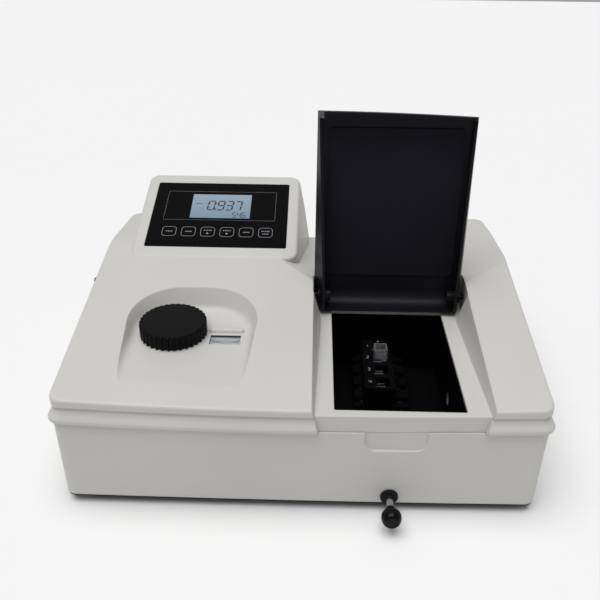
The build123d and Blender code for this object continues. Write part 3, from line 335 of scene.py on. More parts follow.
def metal_material(name: str, finish: Metal) -> bpy.types.Material:
    """Make a drawn, cast or plated metal surface.

    Args:
        name: name of the material.
        finish: colour, drawn lines and polish.

    Returns:
        The material.
    """
    material = bpy.data.materials.new(name)
    material.use_nodes = True
    tree = material.node_tree
    nodes, links = tree.nodes, tree.links
    nodes.clear()
    place = nodes.new("ShaderNodeTexCoord")
    place.label = "place on the piece"
    stretch = nodes.new("ShaderNodeMapping")
    stretch.label = "draw the lines out along the bar"
    stretch.inputs["Scale"].default_value = finish.lines
    drawn = nodes.new("ShaderNodeTexNoise")
    drawn.label = "drawn lines"
    drawn.inputs["Scale"].default_value = 1.0
    drawn.inputs["Detail"].default_value = 3.0
    stains = nodes.new("ShaderNodeTexNoise")
    stains.label = "faint stains"
    stains.inputs["Scale"].default_value = 55.0
    stains.inputs["Detail"].default_value = 5.0
    fade = nodes.new("ShaderNodeMapRange")
    fade.label = "stain strength"
    fade.inputs["From Min"].default_value = 0.35
    fade.inputs["From Max"].default_value = 0.75
    tint = nodes.new("ShaderNodeMix")
    tint.label = "stained metal"
    tint.data_type = "RGBA"
    tint.inputs["A"].default_value = opaque(finish.colour)
    tint.inputs["B"].default_value = opaque(tuple(c * 0.8 for c in finish.colour))
    gloss = nodes.new("ShaderNodeMapRange")
    gloss.label = "polish along the lines"
    gloss.inputs["To Min"].default_value = finish.roughness * 0.75
    gloss.inputs["To Max"].default_value = finish.roughness * 1.3
    rounded = nodes.new("ShaderNodeBevel")
    rounded.label = "broken edges"
    rounded.samples = 4
    rounded.inputs["Radius"].default_value = finish.edge
    relief = nodes.new("ShaderNodeBump")
    relief.label = "line relief"
    relief.inputs["Strength"].default_value = 0.5
    relief.inputs["Distance"].default_value = finish.scratch
    surface = nodes.new("ShaderNodeBsdfPrincipled")
    surface.label = "metal"
    surface.inputs["Metallic"].default_value = 1.0
    surface.inputs["Anisotropic"].default_value = finish.anisotropy
    output = nodes.new("ShaderNodeOutputMaterial")
    output.label = "finish"
    links.new(place.outputs["Object"], stretch.inputs["Vector"])
    links.new(stretch.outputs["Vector"], drawn.inputs["Vector"])
    links.new(place.outputs["Object"], stains.inputs["Vector"])
    links.new(stains.outputs["Fac"], fade.inputs["Value"])
    links.new(fade.outputs["Result"], tint.inputs["Factor"])
    links.new(drawn.outputs["Fac"], gloss.inputs["Value"])
    links.new(drawn.outputs["Fac"], relief.inputs["Height"])
    links.new(rounded.outputs["Normal"], relief.inputs["Normal"])
    links.new(tint.outputs["Result"], surface.inputs["Base Color"])
    links.new(gloss.outputs["Result"], surface.inputs["Roughness"])
    links.new(relief.outputs["Normal"], surface.inputs["Normal"])
    links.new(surface.outputs["BSDF"], output.inputs["Surface"])
    lay_out(
        tree,
        {
            "lines": [place, stretch, drawn, gloss],
            "stains": [stains, fade, tint],
            "relief": [rounded, relief],
            "surface": [surface, output],
        },
    )
    return material


def clear_material(name: str, finish: Clear) -> bpy.types.Material:
    """Make glass, quartz or clear plastic.

    Args:
        name: name of the material.
        finish: tint, refraction and smears.

    Returns:
        The material.
    """
    material = bpy.data.materials.new(name)
    material.use_nodes = True
    tree = material.node_tree
    nodes, links = tree.nodes, tree.links
    nodes.clear()
    place = nodes.new("ShaderNodeTexCoord")
    place.label = "place on the piece"
    smears = nodes.new("ShaderNodeTexNoise")
    smears.label = "finger smears"
    smears.inputs["Scale"].default_value = finish.smear
    smears.inputs["Detail"].default_value = 6.0
    haze = nodes.new("ShaderNodeMapRange")
    haze.label = "haze of the smears"
    haze.inputs["From Min"].default_value = 0.45
    haze.inputs["From Max"].default_value = 0.8
    haze.inputs["To Min"].default_value = finish.roughness
    haze.inputs["To Max"].default_value = finish.roughness + 0.12
    tint = nodes.new("ShaderNodeMix")
    tint.label = "smeared tint"
    tint.data_type = "RGBA"
    tint.inputs["A"].default_value = opaque(finish.colour)
    tint.inputs["B"].default_value = opaque(tuple(c * 0.9 for c in finish.colour))
    waves = nodes.new("ShaderNodeBump")
    waves.label = "slight waviness"
    waves.inputs["Strength"].default_value = 0.15
    waves.inputs["Distance"].default_value = 0.0001
    surface = nodes.new("ShaderNodeBsdfPrincipled")
    surface.label = "clear body"
    surface.inputs["Transmission Weight"].default_value = finish.clarity
    surface.inputs["IOR"].default_value = finish.ior
    output = nodes.new("ShaderNodeOutputMaterial")
    output.label = "finish"
    links.new(place.outputs["Object"], smears.inputs["Vector"])
    links.new(smears.outputs["Fac"], haze.inputs["Value"])
    links.new(haze.outputs["Result"], surface.inputs["Roughness"])
    links.new(smears.outputs["Fac"], tint.inputs["Factor"])
    links.new(smears.outputs["Fac"], waves.inputs["Height"])
    links.new(tint.outputs["Result"], surface.inputs["Base Color"])
    links.new(waves.outputs["Normal"], surface.inputs["Normal"])
    links.new(surface.outputs["BSDF"], output.inputs["Surface"])
    lay_out(
        tree,
        {"smears": [place, smears, haze, tint, waves], "surface": [surface, output]},
    )
    return material


def display_material(name: str, finish: Display) -> bpy.types.Material:
    """Make the field of the liquid-crystal display.

    Args:
        name: name of the material.
        finish: the two tones, the tilt of the glass and the lattice.

    Returns:
        The material.
    """
    low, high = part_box("lcd_module")
    middle, reach = (low + high) / 2, (high - low).y / 2
    material = bpy.data.materials.new(name)
    material.use_nodes = True
    tree = material.node_tree
    nodes, links = tree.nodes, tree.links
    nodes.clear()
    place = nodes.new("ShaderNodeTexCoord")
    place.label = "place on the glass"
    upright = nodes.new("ShaderNodeMapping")
    upright.label = "turn to the tilted glass"
    upright.vector_type = "TEXTURE"
    upright.inputs["Location"].default_value = middle
    upright.inputs["Rotation"].default_value = (finish.tilt, 0.0, 0.0)
    split = nodes.new("ShaderNodeSeparateXYZ")
    split.label = "across and down"
    # The field runs from the top tone to the darker foot tone, down the tilted glass.
    ramp = nodes.new("ShaderNodeMapRange")
    ramp.label = "field darker towards the bottom"
    ramp.inputs["From Min"].default_value = -reach
    ramp.inputs["From Max"].default_value = reach
    field_tone = nodes.new("ShaderNodeMix")
    field_tone.label = "pale field"
    field_tone.data_type = "RGBA"
    field_tone.inputs["A"].default_value = opaque(finish.foot)
    field_tone.inputs["B"].default_value = opaque(finish.top)
    lattice = nodes.new("ShaderNodeTexBrick")
    lattice.label = "cell lattice"
    lattice.offset = 0.0
    lattice.inputs["Scale"].default_value = 1.0 / finish.lattice
    lattice.inputs["Brick Width"].default_value = 1.0
    lattice.inputs["Row Height"].default_value = 1.0
    lattice.inputs["Mortar Size"].default_value = 0.06
    lattice.inputs["Color1"].default_value = (1.0, 1.0, 1.0, 1.0)
    lattice.inputs["Color2"].default_value = (0.97, 0.97, 0.97, 1.0)
    lattice.inputs["Mortar"].default_value = (0.82, 0.84, 0.86, 1.0)
    cells = nodes.new("ShaderNodeMix")
    cells.label = "lattice over the field"
    cells.data_type = "RGBA"
    cells.blend_type = "MULTIPLY"
    cells.inputs["Factor"].default_value = 0.6
    haze = nodes.new("ShaderNodeTexNoise")
    haze.label = "wiped haze"
    haze.inputs["Scale"].default_value = 60.0
    polish = nodes.new("ShaderNodeMapRange")
    polish.label = "polish of the cover"
    polish.inputs["To Min"].default_value = 0.14
    polish.inputs["To Max"].default_value = 0.3
    surface = nodes.new("ShaderNodeBsdfPrincipled")
    surface.label = "display glass"
    surface.inputs["Emission Strength"].default_value = finish.glow
    output = nodes.new("ShaderNodeOutputMaterial")
    output.label = "finish"
    links.new(place.outputs["Object"], upright.inputs["Vector"])
    links.new(upright.outputs["Vector"], split.inputs["Vector"])
    links.new(upright.outputs["Vector"], lattice.inputs["Vector"])
    links.new(place.outputs["Object"], haze.inputs["Vector"])
    links.new(split.outputs["Y"], ramp.inputs["Value"])
    links.new(ramp.outputs["Result"], field_tone.inputs["Factor"])
    links.new(field_tone.outputs["Result"], cells.inputs["A"])
    links.new(lattice.outputs["Color"], cells.inputs["B"])
    links.new(haze.outputs["Fac"], polish.inputs["Value"])
    links.new(cells.outputs["Result"], surface.inputs["Base Color"])
    links.new(cells.outputs["Result"], surface.inputs["Emission Color"])
    links.new(polish.outputs["Result"], surface.inputs["Roughness"])
    links.new(surface.outputs["BSDF"], output.inputs["Surface"])
    lay_out(
        tree,
        {
            "field": [place, upright, split, ramp, field_tone],
            "lattice": [lattice, cells],
            "cover": [haze, polish],
            "surface": [surface, output],
        },
    )
    return material


def board_material(name: str, finish: Board) -> bpy.types.Material:
    """Make a circuit board.

    Args:
        name: name of the material.
        finish: resist and track colours and the track pitch.

    Returns:
        The material.
    """
    material = bpy.data.materials.new(name)
    material.use_nodes = True
    tree = material.node_tree
    nodes, links = tree.nodes, tree.links
    nodes.clear()
    place = nodes.new("ShaderNodeTexCoord")
    place.label = "place on the board"
    tracks = nodes.new("ShaderNodeTexBrick")
    tracks.label = "rows of tracks"
    tracks.inputs["Scale"].default_value = 1.0 / finish.pitch
    tracks.inputs["Mortar Size"].default_value = 0.12
    tracks.inputs["Color1"].default_value = opaque(finish.resist)
    tracks.inputs["Color2"].default_value = opaque(tuple(c * 0.8 for c in finish.resist))
    tracks.inputs["Mortar"].default_value = opaque(finish.track)
    pads = nodes.new("ShaderNodeTexVoronoi")
    pads.label = "solder pads"
    pads.inputs["Scale"].default_value = 0.5 / finish.pitch
    dot = nodes.new("ShaderNodeMapRange")
    dot.label = "edge of a pad"
    dot.inputs["From Min"].default_value = 0.16
    dot.inputs["From Max"].default_value = 0.2
    dot.inputs["To Min"].default_value = 1.0
    dot.inputs["To Max"].default_value = 0.0
    soldered = nodes.new("ShaderNodeMix")
    soldered.label = "pads over the tracks"
    soldered.data_type = "RGBA"
    soldered.inputs["B"].default_value = (0.55, 0.55, 0.52, 1.0)
    relief = nodes.new("ShaderNodeBump")
    relief.label = "raised copper"
    relief.inputs["Distance"].default_value = 0.00005
    surface = nodes.new("ShaderNodeBsdfPrincipled")
    surface.label = "board"
    surface.inputs["Roughness"].default_value = 0.35
    output = nodes.new("ShaderNodeOutputMaterial")
    output.label = "finish"
    links.new(place.outputs["Object"], tracks.inputs["Vector"])
    links.new(place.outputs["Object"], pads.inputs["Vector"])
    links.new(pads.outputs["Distance"], dot.inputs["Value"])
    links.new(dot.outputs["Result"], soldered.inputs["Factor"])
    links.new(tracks.outputs["Color"], soldered.inputs["A"])
    links.new(tracks.outputs["Fac"], relief.inputs["Height"])
    links.new(soldered.outputs["Result"], surface.inputs["Base Color"])
    links.new(relief.outputs["Normal"], surface.inputs["Normal"])
    links.new(surface.outputs["BSDF"], output.inputs["Surface"])
    lay_out(
        tree,
        {"tracks": [place, tracks, relief], "pads": [pads, dot, soldered], "surface": [surface, output]},
    )
    return material


def ruled_material(name: str, finish: Ruled) -> bpy.types.Material:
    """Make the ruled face of the grating.

    Args:
        name: name of the material.
        finish: metal tone and spacing of the visible bands.

    Returns:
        The material.
    """
    material = bpy.data.materials.new(name)
    material.use_nodes = True
    tree = material.node_tree
    nodes, links = tree.nodes, tree.links
    nodes.clear()
    place = nodes.new("ShaderNodeTexCoord")
    place.label = "place on the grating"
    bands = nodes.new("ShaderNodeTexWave")
    bands.label = "ruled lines"
    bands.inputs["Scale"].default_value = 1.0 / finish.ruling
    angle = nodes.new("ShaderNodeLayerWeight")
    angle.label = "angle of the face"
    rainbow = nodes.new("ShaderNodeValToRGB")
    rainbow.label = "dispersed colours"
    for position, colour in ((0.25, (0.3, 0.1, 0.6)), (0.5, (0.1, 0.6, 0.3)), (0.75, (0.8, 0.5, 0.1))):
        rainbow.color_ramp.elements.new(position).color = opaque(colour)
    blend = nodes.new("ShaderNodeMix")
    blend.label = "colours over the metal"
    blend.data_type = "RGBA"
    blend.inputs["Factor"].default_value = 0.45
    blend.inputs["A"].default_value = opaque(finish.base)
    relief = nodes.new("ShaderNodeBump")
    relief.label = "line relief"
    relief.inputs["Distance"].default_value = 0.00001
    surface = nodes.new("ShaderNodeBsdfPrincipled")
    surface.label = "aluminised face"
    surface.inputs["Metallic"].default_value = 1.0
    surface.inputs["Roughness"].default_value = 0.12
    output = nodes.new("ShaderNodeOutputMaterial")
    output.label = "finish"
    links.new(place.outputs["Object"], bands.inputs["Vector"])
    links.new(bands.outputs["Fac"], relief.inputs["Height"])
    links.new(angle.outputs["Facing"], rainbow.inputs["Fac"])
    links.new(rainbow.outputs["Color"], blend.inputs["B"])
    links.new(blend.outputs["Result"], surface.inputs["Base Color"])
    links.new(relief.outputs["Normal"], surface.inputs["Normal"])
    links.new(surface.outputs["BSDF"], output.inputs["Surface"])
    lay_out(
        tree,
        {
            "ruling": [place, bands, relief],
            "dispersion": [angle, rainbow, blend],
            "surface": [surface, output],
        },
    )
    return material


class Slot(Enum):
    """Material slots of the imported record."""

    CASE_MOULDING = "case_moulding"
    CASE_PAINT = "case_paint"
    BASE_STEEL = "base_steel"
    BLACK_MOULDING = "black_moulding"
    KNOB_BLACK = "knob_black"
    TUB_BLACK = "tub_black"
    FOAM_BLACK = "foam_black"
    FOOT_RUBBER = "foot_rubber"
    ROD_STEEL = "rod_steel"
    BRIGHT_STEEL = "bright_steel"
    CAST_ALLOY = "cast_alloy"
    MIRROR_GLASS = "mirror_glass"
    GRATING_FACE = "grating_face"
    CLEAR_QUARTZ = "clear_quartz"
    WINDOW_CLEAR = "window_clear"
    SCALE_FACE = "scale_face"
    OVERLAY_FILM = "overlay_film"
    LCD_GLASS = "lcd_glass"
    BOARD_GREEN = "board_green"
    LAMP_GLASS = "lamp_glass"
    COIL_CORE = "coil_core"
    BRASS_PIN = "brass_pin"
    PRINT_WHITE = "print_white"
    PRINT_DARK = "print_dark"


# The seventh figure of each Moulded finish pales its edges: partly scuffs, partly a painted edge
# highlight.
FINISHES: dict[Slot, Moulded | Metal | Clear | Display | Board | Ruled] = {
    Slot.CASE_MOULDING: Moulded(tone(193, 192, 188), 0.965, 0.44, 0.0011, 0.00003, 0.0016, 0.10, 0.4),
    Slot.CASE_PAINT: Moulded(tone(173, 172, 164), 0.96, 0.46, 0.0013, 0.00005, 0.0012, 0.10, 0.4),
    Slot.BASE_STEEL: Moulded(tone(18, 18, 19), 0.8, 0.5, 0.0009, 0.00003, 0.0004, 0.04, 0.2),
    Slot.BLACK_MOULDING: Moulded(tone(22, 22, 27), 0.85, 0.40, 0.0010, 0.00003, 0.0006, 0.01, 0.12),
    Slot.KNOB_BLACK: Moulded(tone(7, 7, 9), 0.85, 0.26, 0.0009, 0.00002, 0.0004, 0.01, 0.12),
    Slot.TUB_BLACK: Moulded(tone(4, 4, 6), 0.8, 0.62, 0.0008, 0.00003, 0.0004, 0.003, 0.06),
    Slot.FOAM_BLACK: Moulded(tone(30, 30, 36), 0.8, 0.9, 0.0012, 0.00015, 0.0005, 0.0, 0.08),
    Slot.FOOT_RUBBER: Moulded(tone(20, 20, 21), 0.75, 0.72, 0.0012, 0.00008, 0.0008, 0.03, 0.2),
    Slot.ROD_STEEL: Metal(tone(196, 196, 194), 0.22, (900.0, 40.0, 900.0)),
    Slot.BRIGHT_STEEL: Metal(tone(112, 113, 116), 0.36),
    Slot.CAST_ALLOY: Metal(tone(150, 151, 153), 0.5, (220.0, 220.0, 220.0), 0.00012, 0.0008, 0.0),
    Slot.MIRROR_GLASS: Metal(tone(222, 225, 228), 0.04, (60.0, 60.0, 60.0), 0.000002, 0.0003, 0.0),
    Slot.GRATING_FACE: Ruled(),
    Slot.CLEAR_QUARTZ: Clear((0.93, 0.96, 0.97), 1.46, 0.03, clarity=0.9),
    Slot.WINDOW_CLEAR: Clear((0.96, 0.97, 0.98), 1.2, 0.02, 25.0),
    # The scale face glows: painted light that lifts it out of the shade under the cover, with no lamp to
    # cast it.
    Slot.SCALE_FACE: Moulded(tone(176, 181, 183), 0.9, 0.4, 0.0012, 0.00002, 0.0004, 0.05, glow=0.35),
    Slot.OVERLAY_FILM: Moulded(tone(3, 3, 5), 0.8, 0.2, 0.0007, 0.000006, 0.0003, 0.0, 0.1),
    Slot.LCD_GLASS: Display(),
    Slot.BOARD_GREEN: Board(),
    Slot.LAMP_GLASS: Clear((0.95, 0.96, 0.95), 1.5, 0.02),
    Slot.COIL_CORE: Moulded(tone(140, 92, 40), 0.6, 0.35, 0.0016, 0.0002, 0.0008, 0.1, 0.5, 0.3),
    Slot.BRASS_PIN: Metal(tone(201, 166, 92), 0.25),
    Slot.PRINT_WHITE: Moulded(tone(150, 152, 156), 0.85, 0.5, 0.0004, 0.00001, 0.0001, 0.0),
    Slot.PRINT_DARK: Moulded(tone(34, 44, 58), 0.8, 0.4, 0.0004, 0.00001, 0.0001, 0.0),
}


@dataclass
class Palette:
    """Every finish of the instrument, made once and put on the CAD nodes and the new pieces."""

    made: dict[Slot, bpy.types.Material] = field(default_factory=dict)

    def material(self, slot: Slot) -> bpy.types.Material:
        """Give the material of a slot, and make it the first time.

        Args:
            slot: the material slot.

        Returns:
            Its material.
        """
        if slot not in self.made:
            self.made[slot] = FINISHES[slot].make(slot.value)
        return self.made[slot]

    def dress(self, *nodes: str) -> None:
        """Put on each CAD node the finish that the record names for it.

        Args:
            nodes: names of CAD nodes.
        """
        slots = {part["node"]: part["material_slot"] for part in frame["record"]["subparts"]}
        for name in nodes:
            target = frame["nodes"][name]
            finish = self.material(Slot(slots[name]))
            if not target.material_slots:
                target.data.materials.append(finish)
            for place in target.material_slots:
                place.material = finish
            log.info("dressed %s", name)


@dataclass
class Piece:
    """A new piece that stands on a CAD body."""

    name: str
    body: str
    slot: Slot

    def add(self, mesh: bpy.types.Mesh, palette: Palette, smooth: bool = False) -> bpy.types.Object:
        """Link the piece at the origin, finish it and let it ride on its body.

        Args:
            mesh: the mesh, already in its place.
            palette: the finishes.
            smooth: whether the faces are shaded smooth.

        Returns:
            The new object.
        """
        mesh.name = self.name
        mesh.materials.clear()
        mesh.materials.append(palette.material(self.slot))
        for face in mesh.polygons:
            face.use_smooth = smooth
        thing = bpy.data.objects.new(self.name, mesh)
        bpy.context.scene.collection.objects.link(thing)
        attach(thing, self.body)
        log.info("built %s on %s", self.name, self.body)
        return thing


# ------------------------------------------------------------------------------ printed shapes
def bar(x: float, y: float, width: float, height: float) -> Outline:
    """Give a rectangle about a centre.

    Args:
        x: centre across.
        y: centre up.
        width: size across.
        height: size up.

    Returns:
        Its corners.
    """
    w, h = width / 2, height / 2
    return [(x - w, y - h), (x + w, y - h), (x + w, y + h), (x - w, y + h)]


def disc(x: float, y: float, radius: float, corners: int = 20) -> Outline:
    """Give a round dot.

    Args:
        x: centre across.
        y: centre up.
        radius: its radius.
        corners: corners round it.

    Returns:
        Its corners.
    """
    step = 2 * math.pi / corners
    return [(x + radius * math.cos(step * i), y + radius * math.sin(step * i)) for i in range(corners)]


def rounded(x: float, y: float, width: float, height: float, radius: float) -> Outline:
    """Give a rectangle with round corners.

    Args:
        x: centre across.
        y: centre up.
        width: size across.
        height: size up.
        radius: radius of its corners.

    Returns:
        Its corners.
    """
    steps = 6
    points = []
    for corner in range(4):
        sx, sy = ((1, 1), (-1, 1), (-1, -1), (1, -1))[corner]
        cx, cy = x + sx * (width / 2 - radius), y + sy * (height / 2 - radius)
        for i in range(steps + 1):
            angle = math.pi / 2 * (corner + i / steps)
            points.append((cx + radius * math.cos(angle), cy + radius * math.sin(angle)))
    return points


def frame_line(x: float, y: float, width: float, height: float, radius: float, line: float) -> Shapes:
    """Give the printed line round a rounded rectangle, as four-sided pieces.

    Args:
        x: centre across.
        y: centre up.
        width: outer size across.
        height: outer size up.
        radius: outer radius of the corners.
        line: width of the line.

    Returns:
        The pieces of the line.
    """
    outer = rounded(x, y, width, height, radius)
    inner = rounded(x, y, width - 2 * line, height - 2 * line, max(radius - line, 0.00001))
    count = len(outer)
    return [
        [outer[i], outer[(i + 1) % count], inner[(i + 1) % count], inner[i]]
        for i in range(count)
    ]


SEGMENTS = {
    "0": "abcdef", "1": "bc", "2": "abged", "3": "abgcd", "4": "fgbc", "5": "afgcd",
    "6": "afgedc", "7": "abc", "8": "abcdefg", "9": "abcdfg",
}


def segment_figures(text: str, x: float, y: float, height: float, slant: float = 0.12) -> Shapes:
    """Draw a number in seven-segment figures.

    Args:
        text: figures and points.
        x: left side of the first figure.
        y: foot of the figures.
        height: height of a figure.
        slant: lean of the figures to the right.

    Returns:
        The segments.
    """
    width, stroke = height * 0.46, height * 0.115
    half, gap = height / 2, height * 0.025
    shapes = []
    cursor = x
    for sign in text:
        if sign == ".":
            shapes.append(disc(cursor - height * 0.07, y + stroke / 2, stroke * 0.75, 12))
            cursor += height * 0.06
            continue
        for segment in SEGMENTS[sign]:
            level = {"a": height, "g": half, "d": 0.0}.get(segment)
            if level is not None:
                a, b, t = gap, width - gap, stroke / 2
                shapes.append([(cursor + a, y + level), (cursor + a + t, y + level - t),
                               (cursor + b - t, y + level - t), (cursor + b, y + level),
                               (cursor + b - t, y + level + t), (cursor + a + t, y + level + t)])
            else:
                side = cursor + (width if segment in "bc" else 0.0)
                foot = y + (half if segment in "bf" else 0.0)
                a, b, t = foot + gap, foot + half - gap, stroke / 2
                shapes.append([(side, a), (side + t, a + t), (side + t, b - t),
                               (side, b), (side - t, b - t), (side - t, a + t)])
        cursor += width + height * 0.17
    return [[(px + (py - y) * slant, py) for px, py in shape] for shape in shapes]


def print_mesh(groups: list[tuple[Shapes, Matrix]], thickness: float = PRINT_THICKNESS) -> bpy.types.Mesh:
    """Make a thin raised print from flat shapes.

    Args:
        groups: shapes, with the plane that each set lies on.
        thickness: how far the print stands up.

    Returns:
        The closed mesh, in its place.
    """
    build = bmesh.new()
    for shapes, plane in groups:
        for shape in shapes:
            lower = [build.verts.new(plane @ Vector((px, py, 0.0))) for px, py in shape]
            upper = [build.verts.new(plane @ Vector((px, py, thickness))) for px, py in shape]
            build.faces.new(upper)
            build.faces.new(lower[::-1])
            for i in range(len(shape)):
                j = (i + 1) % len(shape)
                build.faces.new((lower[i], lower[j], upper[j], upper[i]))
    bmesh.ops.recalc_face_normals(build, faces=build.faces)
    mesh = bpy.data.meshes.new("print")
    build.to_mesh(mesh)
    build.free()
    return mesh


def figure_shapes(text: str, size: float) -> Shapes:
    """Draw plain figures as flat four-sided strokes about their middle.

    Args:
        text: the figures.
        size: their height.

    Returns:
        The strokes.
    """
    width = size * 0.46 * len(text) + size * 0.17 * (len(text) - 1)
    return segment_figures(text, -width / 2, -size / 2, size, 0.0)


def plane_at(origin: Vector, across: Vector, up: Vector) -> Matrix:
    """Give the placement whose X and Y lie along two directions.

    Args:
        origin: its origin.
        across: direction of X.
        up: direction of Y.

    Returns:
        The placement.
    """
    out = across.cross(up)
    turn = Matrix((across, up, out)).transposed()
    return Matrix.Translation(origin) @ turn.to_4x4()


# ------------------------------------------------------------------------------ sub-assemblies
@dataclass
class CaseShell:
    """Moulded top cover, painted lower case, base plate, feet and rear panel."""

    nodes: tuple[str, ...] = (
        "rubber_feet", "base_plate", "lower_case", "top_cover", "rear_panel", "case_screws",
    )

    def build(self, palette: Palette) -> None:
        """Dress the case nodes."""
        palette.dress(*self.nodes)


@dataclass
class Lid:
    """Hinged lid of the sample compartment."""

    nodes: tuple[str, ...] = ("lid_shell", "lid_liner", "hinge_pins")

    def build(self, palette: Palette) -> None:
        """Dress the lid nodes."""
        palette.dress(*self.nodes)


@dataclass
class Console:
    """Tilted console with its film, display and six membrane keys."""

    nodes: tuple[str, ...] = ("console_overlay", "lcd_module", "key_board")
    keys: int = 6
    tilt: float = math.radians(16.4)
    film: float = 0.0012
    glass_drop: float = 0.0003
    key_width: float = 0.0150
    key_height: float = 0.0150
    key_radius: float = 0.0038
    line: float = 0.0004
    window_line: float = 0.00018
    window_size: tuple[float, float] = (0.1204, 0.0492)
    window_centre: tuple[float, float] = (-0.0002, 0.0141)
    figure_height: float = 0.0150
    reading: str = "0.937"
    small_reading: str = "546"
    reading_place: tuple[float, float] = (-0.0150, 0.0008)
    small_place: tuple[float, float] = (0.0130, -0.0190)
    small_height: float = 0.0082
    mode_bar: tuple[float, float, float, float] = (-0.0235, 0.0035, 0.0040, 0.0009)
    mode_dot: tuple[float, float, float] = (-0.0268, 0.0035, 0.0008)
    mode_dot_sides: int = 12
    window_radius: float = 0.001
    dash_pitch: float = 0.0018
    dash_length: float = 0.0012
    dash_stroke: float = 0.0011
    dash_upper: float = 0.0022
    dash_lower: float = -0.0020
    dot_drop: float = -0.0026
    dot_radius: float = 0.0011

    def plane(self, node: str, above: float) -> Matrix:
        """Give the tilted plane through the middle of a node, raised along its normal.

        Args:
            node: the CAD node.
            above: distance from its middle.

        Returns:
            The placement.
        """
        low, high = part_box(node)
        across = Vector((1.0, 0.0, 0.0))
        up = Vector((0.0, math.cos(self.tilt), math.sin(self.tilt)))
        return plane_at((low + high) / 2 + across.cross(up) * above, across, up)

    def key_mark(self, index: int) -> Shapes:
        """Give the plain symbol of a key.

        Args:
            index: number of the key, from 0.

        Returns:
            The shapes of the symbol.
        """
        pitch, length, stroke = self.dash_pitch, self.dash_length, self.dash_stroke
        short, long = (-1.5, -0.5, 0.5, 1.5), (-2, -1, 0, 1, 2)
        upper = [bar(pitch * i, self.dash_upper, length, stroke) for i in long]
        if index in (2, 3):
            return upper + [disc(0.0, self.dot_drop, self.dot_radius)]
        if index == 5:
            return upper + [bar(pitch * i, self.dash_lower, length, stroke) for i in short]
        return [bar(pitch * i, 0.0, length, length) for i in short]

    def build(self, palette: Palette) -> None:
        """Dress the console and print its film, keys and display.

        Args:
            palette: the finishes.
        """
        palette.dress(*self.nodes, *(f"key_{n + 1}" for n in range(self.keys)))
        face = self.plane("console_overlay", self.film / 2)
        (width, height), (x, y) = self.window_size, self.window_centre
        line = frame_line(x, y, width, height, self.window_radius, self.window_line)
        Piece("film_print", "chassis", Slot.PRINT_WHITE).add(print_mesh([(line, face)]), palette)
        for index in range(self.keys):
            middle = self.on_film(face, f"key_{index + 1}")
            top = face @ Matrix.Translation((middle.x, middle.y, 0.0))
            shapes = frame_line(0.0, 0.0, self.key_width, self.key_height, self.key_radius, self.line)
            mesh = print_mesh([(shapes + self.key_mark(index), top)])
            Piece(f"key_{index + 1}_print", f"key_{index + 1}_body", Slot.PRINT_WHITE).add(mesh, palette)
        glass = face @ Matrix.Translation((0.0, self.on_film(face, "lcd_module").y, -self.glass_drop))
        height = self.figure_height
        left, rise = self.reading_place
        shapes = segment_figures(self.reading, left, -height / 2 + rise, height)
        small = segment_figures(self.small_reading, *self.small_place, self.small_height)
        mark = [bar(*self.mode_bar), disc(*self.mode_dot, self.mode_dot_sides)]
        mesh = print_mesh([(shapes + small + mark, glass)])
        Piece("display_figures", "chassis", Slot.PRINT_DARK).add(mesh, palette)

    def on_film(self, face: Matrix, node: str) -> Vector:
        """Give the middle of a node in the film's own coordinates.

        Args:
            face: placement of the film's face.
            node: the CAD node.

        Returns:
            Its middle: across, up and out.
        """
        low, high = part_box(node)
        return face.inverted() @ ((low + high) / 2)


@dataclass
class WavelengthDrive:
    """Knob, geared scale under its window, and the grating table."""

    nodes: tuple[str, ...] = (
        "knob_bearing", "wavelength_knob", "knob_shaft", "scale_disc", "scale_window",
        "scale_post", "grating_table", "grating",
    )
    figures_radius: float = 0.0335
    tick_radius: float = 0.0395
    tick_width: float = 0.00022
    tick_length: float = 0.0032
    figure_size: float = 0.0030
    step: float = math.radians(9.0)
    first: int = 200
    last: int = 1000

    def build(self, palette: Palette) -> None:
        """Dress the drive and print the scale ring.

        Args:
            palette: the finishes.
        """
        palette.dress(*self.nodes)
        low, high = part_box("scale_disc")
        centre = Vector(((low.x + high.x) / 2, (low.y + high.y) / 2, high.z))
        marks = (self.last - self.first) // 100
        groups = []
        for i in range(marks * 10 + 1):
            angle = self.step * (i / 10 - marks / 2)
            outward = Vector((math.sin(angle), -math.cos(angle), 0.0))
            across = Vector((math.cos(angle), math.sin(angle), 0.0))
            length = self.tick_length * (1.0 if i % 10 == 0 else 0.75 if i % 5 == 0 else 0.5)
            ring = plane_at(centre + outward * (self.tick_radius - length / 2), across, -outward)
            groups.append(([bar(0.0, 0.0, self.tick_width, length)], ring))
            if i % 10 == 0:
                seat = plane_at(centre + outward * self.figures_radius, across, -outward)
                groups.append((figure_shapes(str(self.first + i * 10), self.figure_size), seat))
        Piece("scale_figures", "scale", Slot.PRINT_DARK).add(print_mesh(groups), palette)


@dataclass
class Monochromator:
    """Cast optical base with its mirrors and slits."""

    nodes: tuple[str, ...] = ("mono_base", "mono_mirrors", "slits")

    def build(self, palette: Palette) -> None:
        """Dress the optical nodes."""
        palette.dress(*self.nodes)


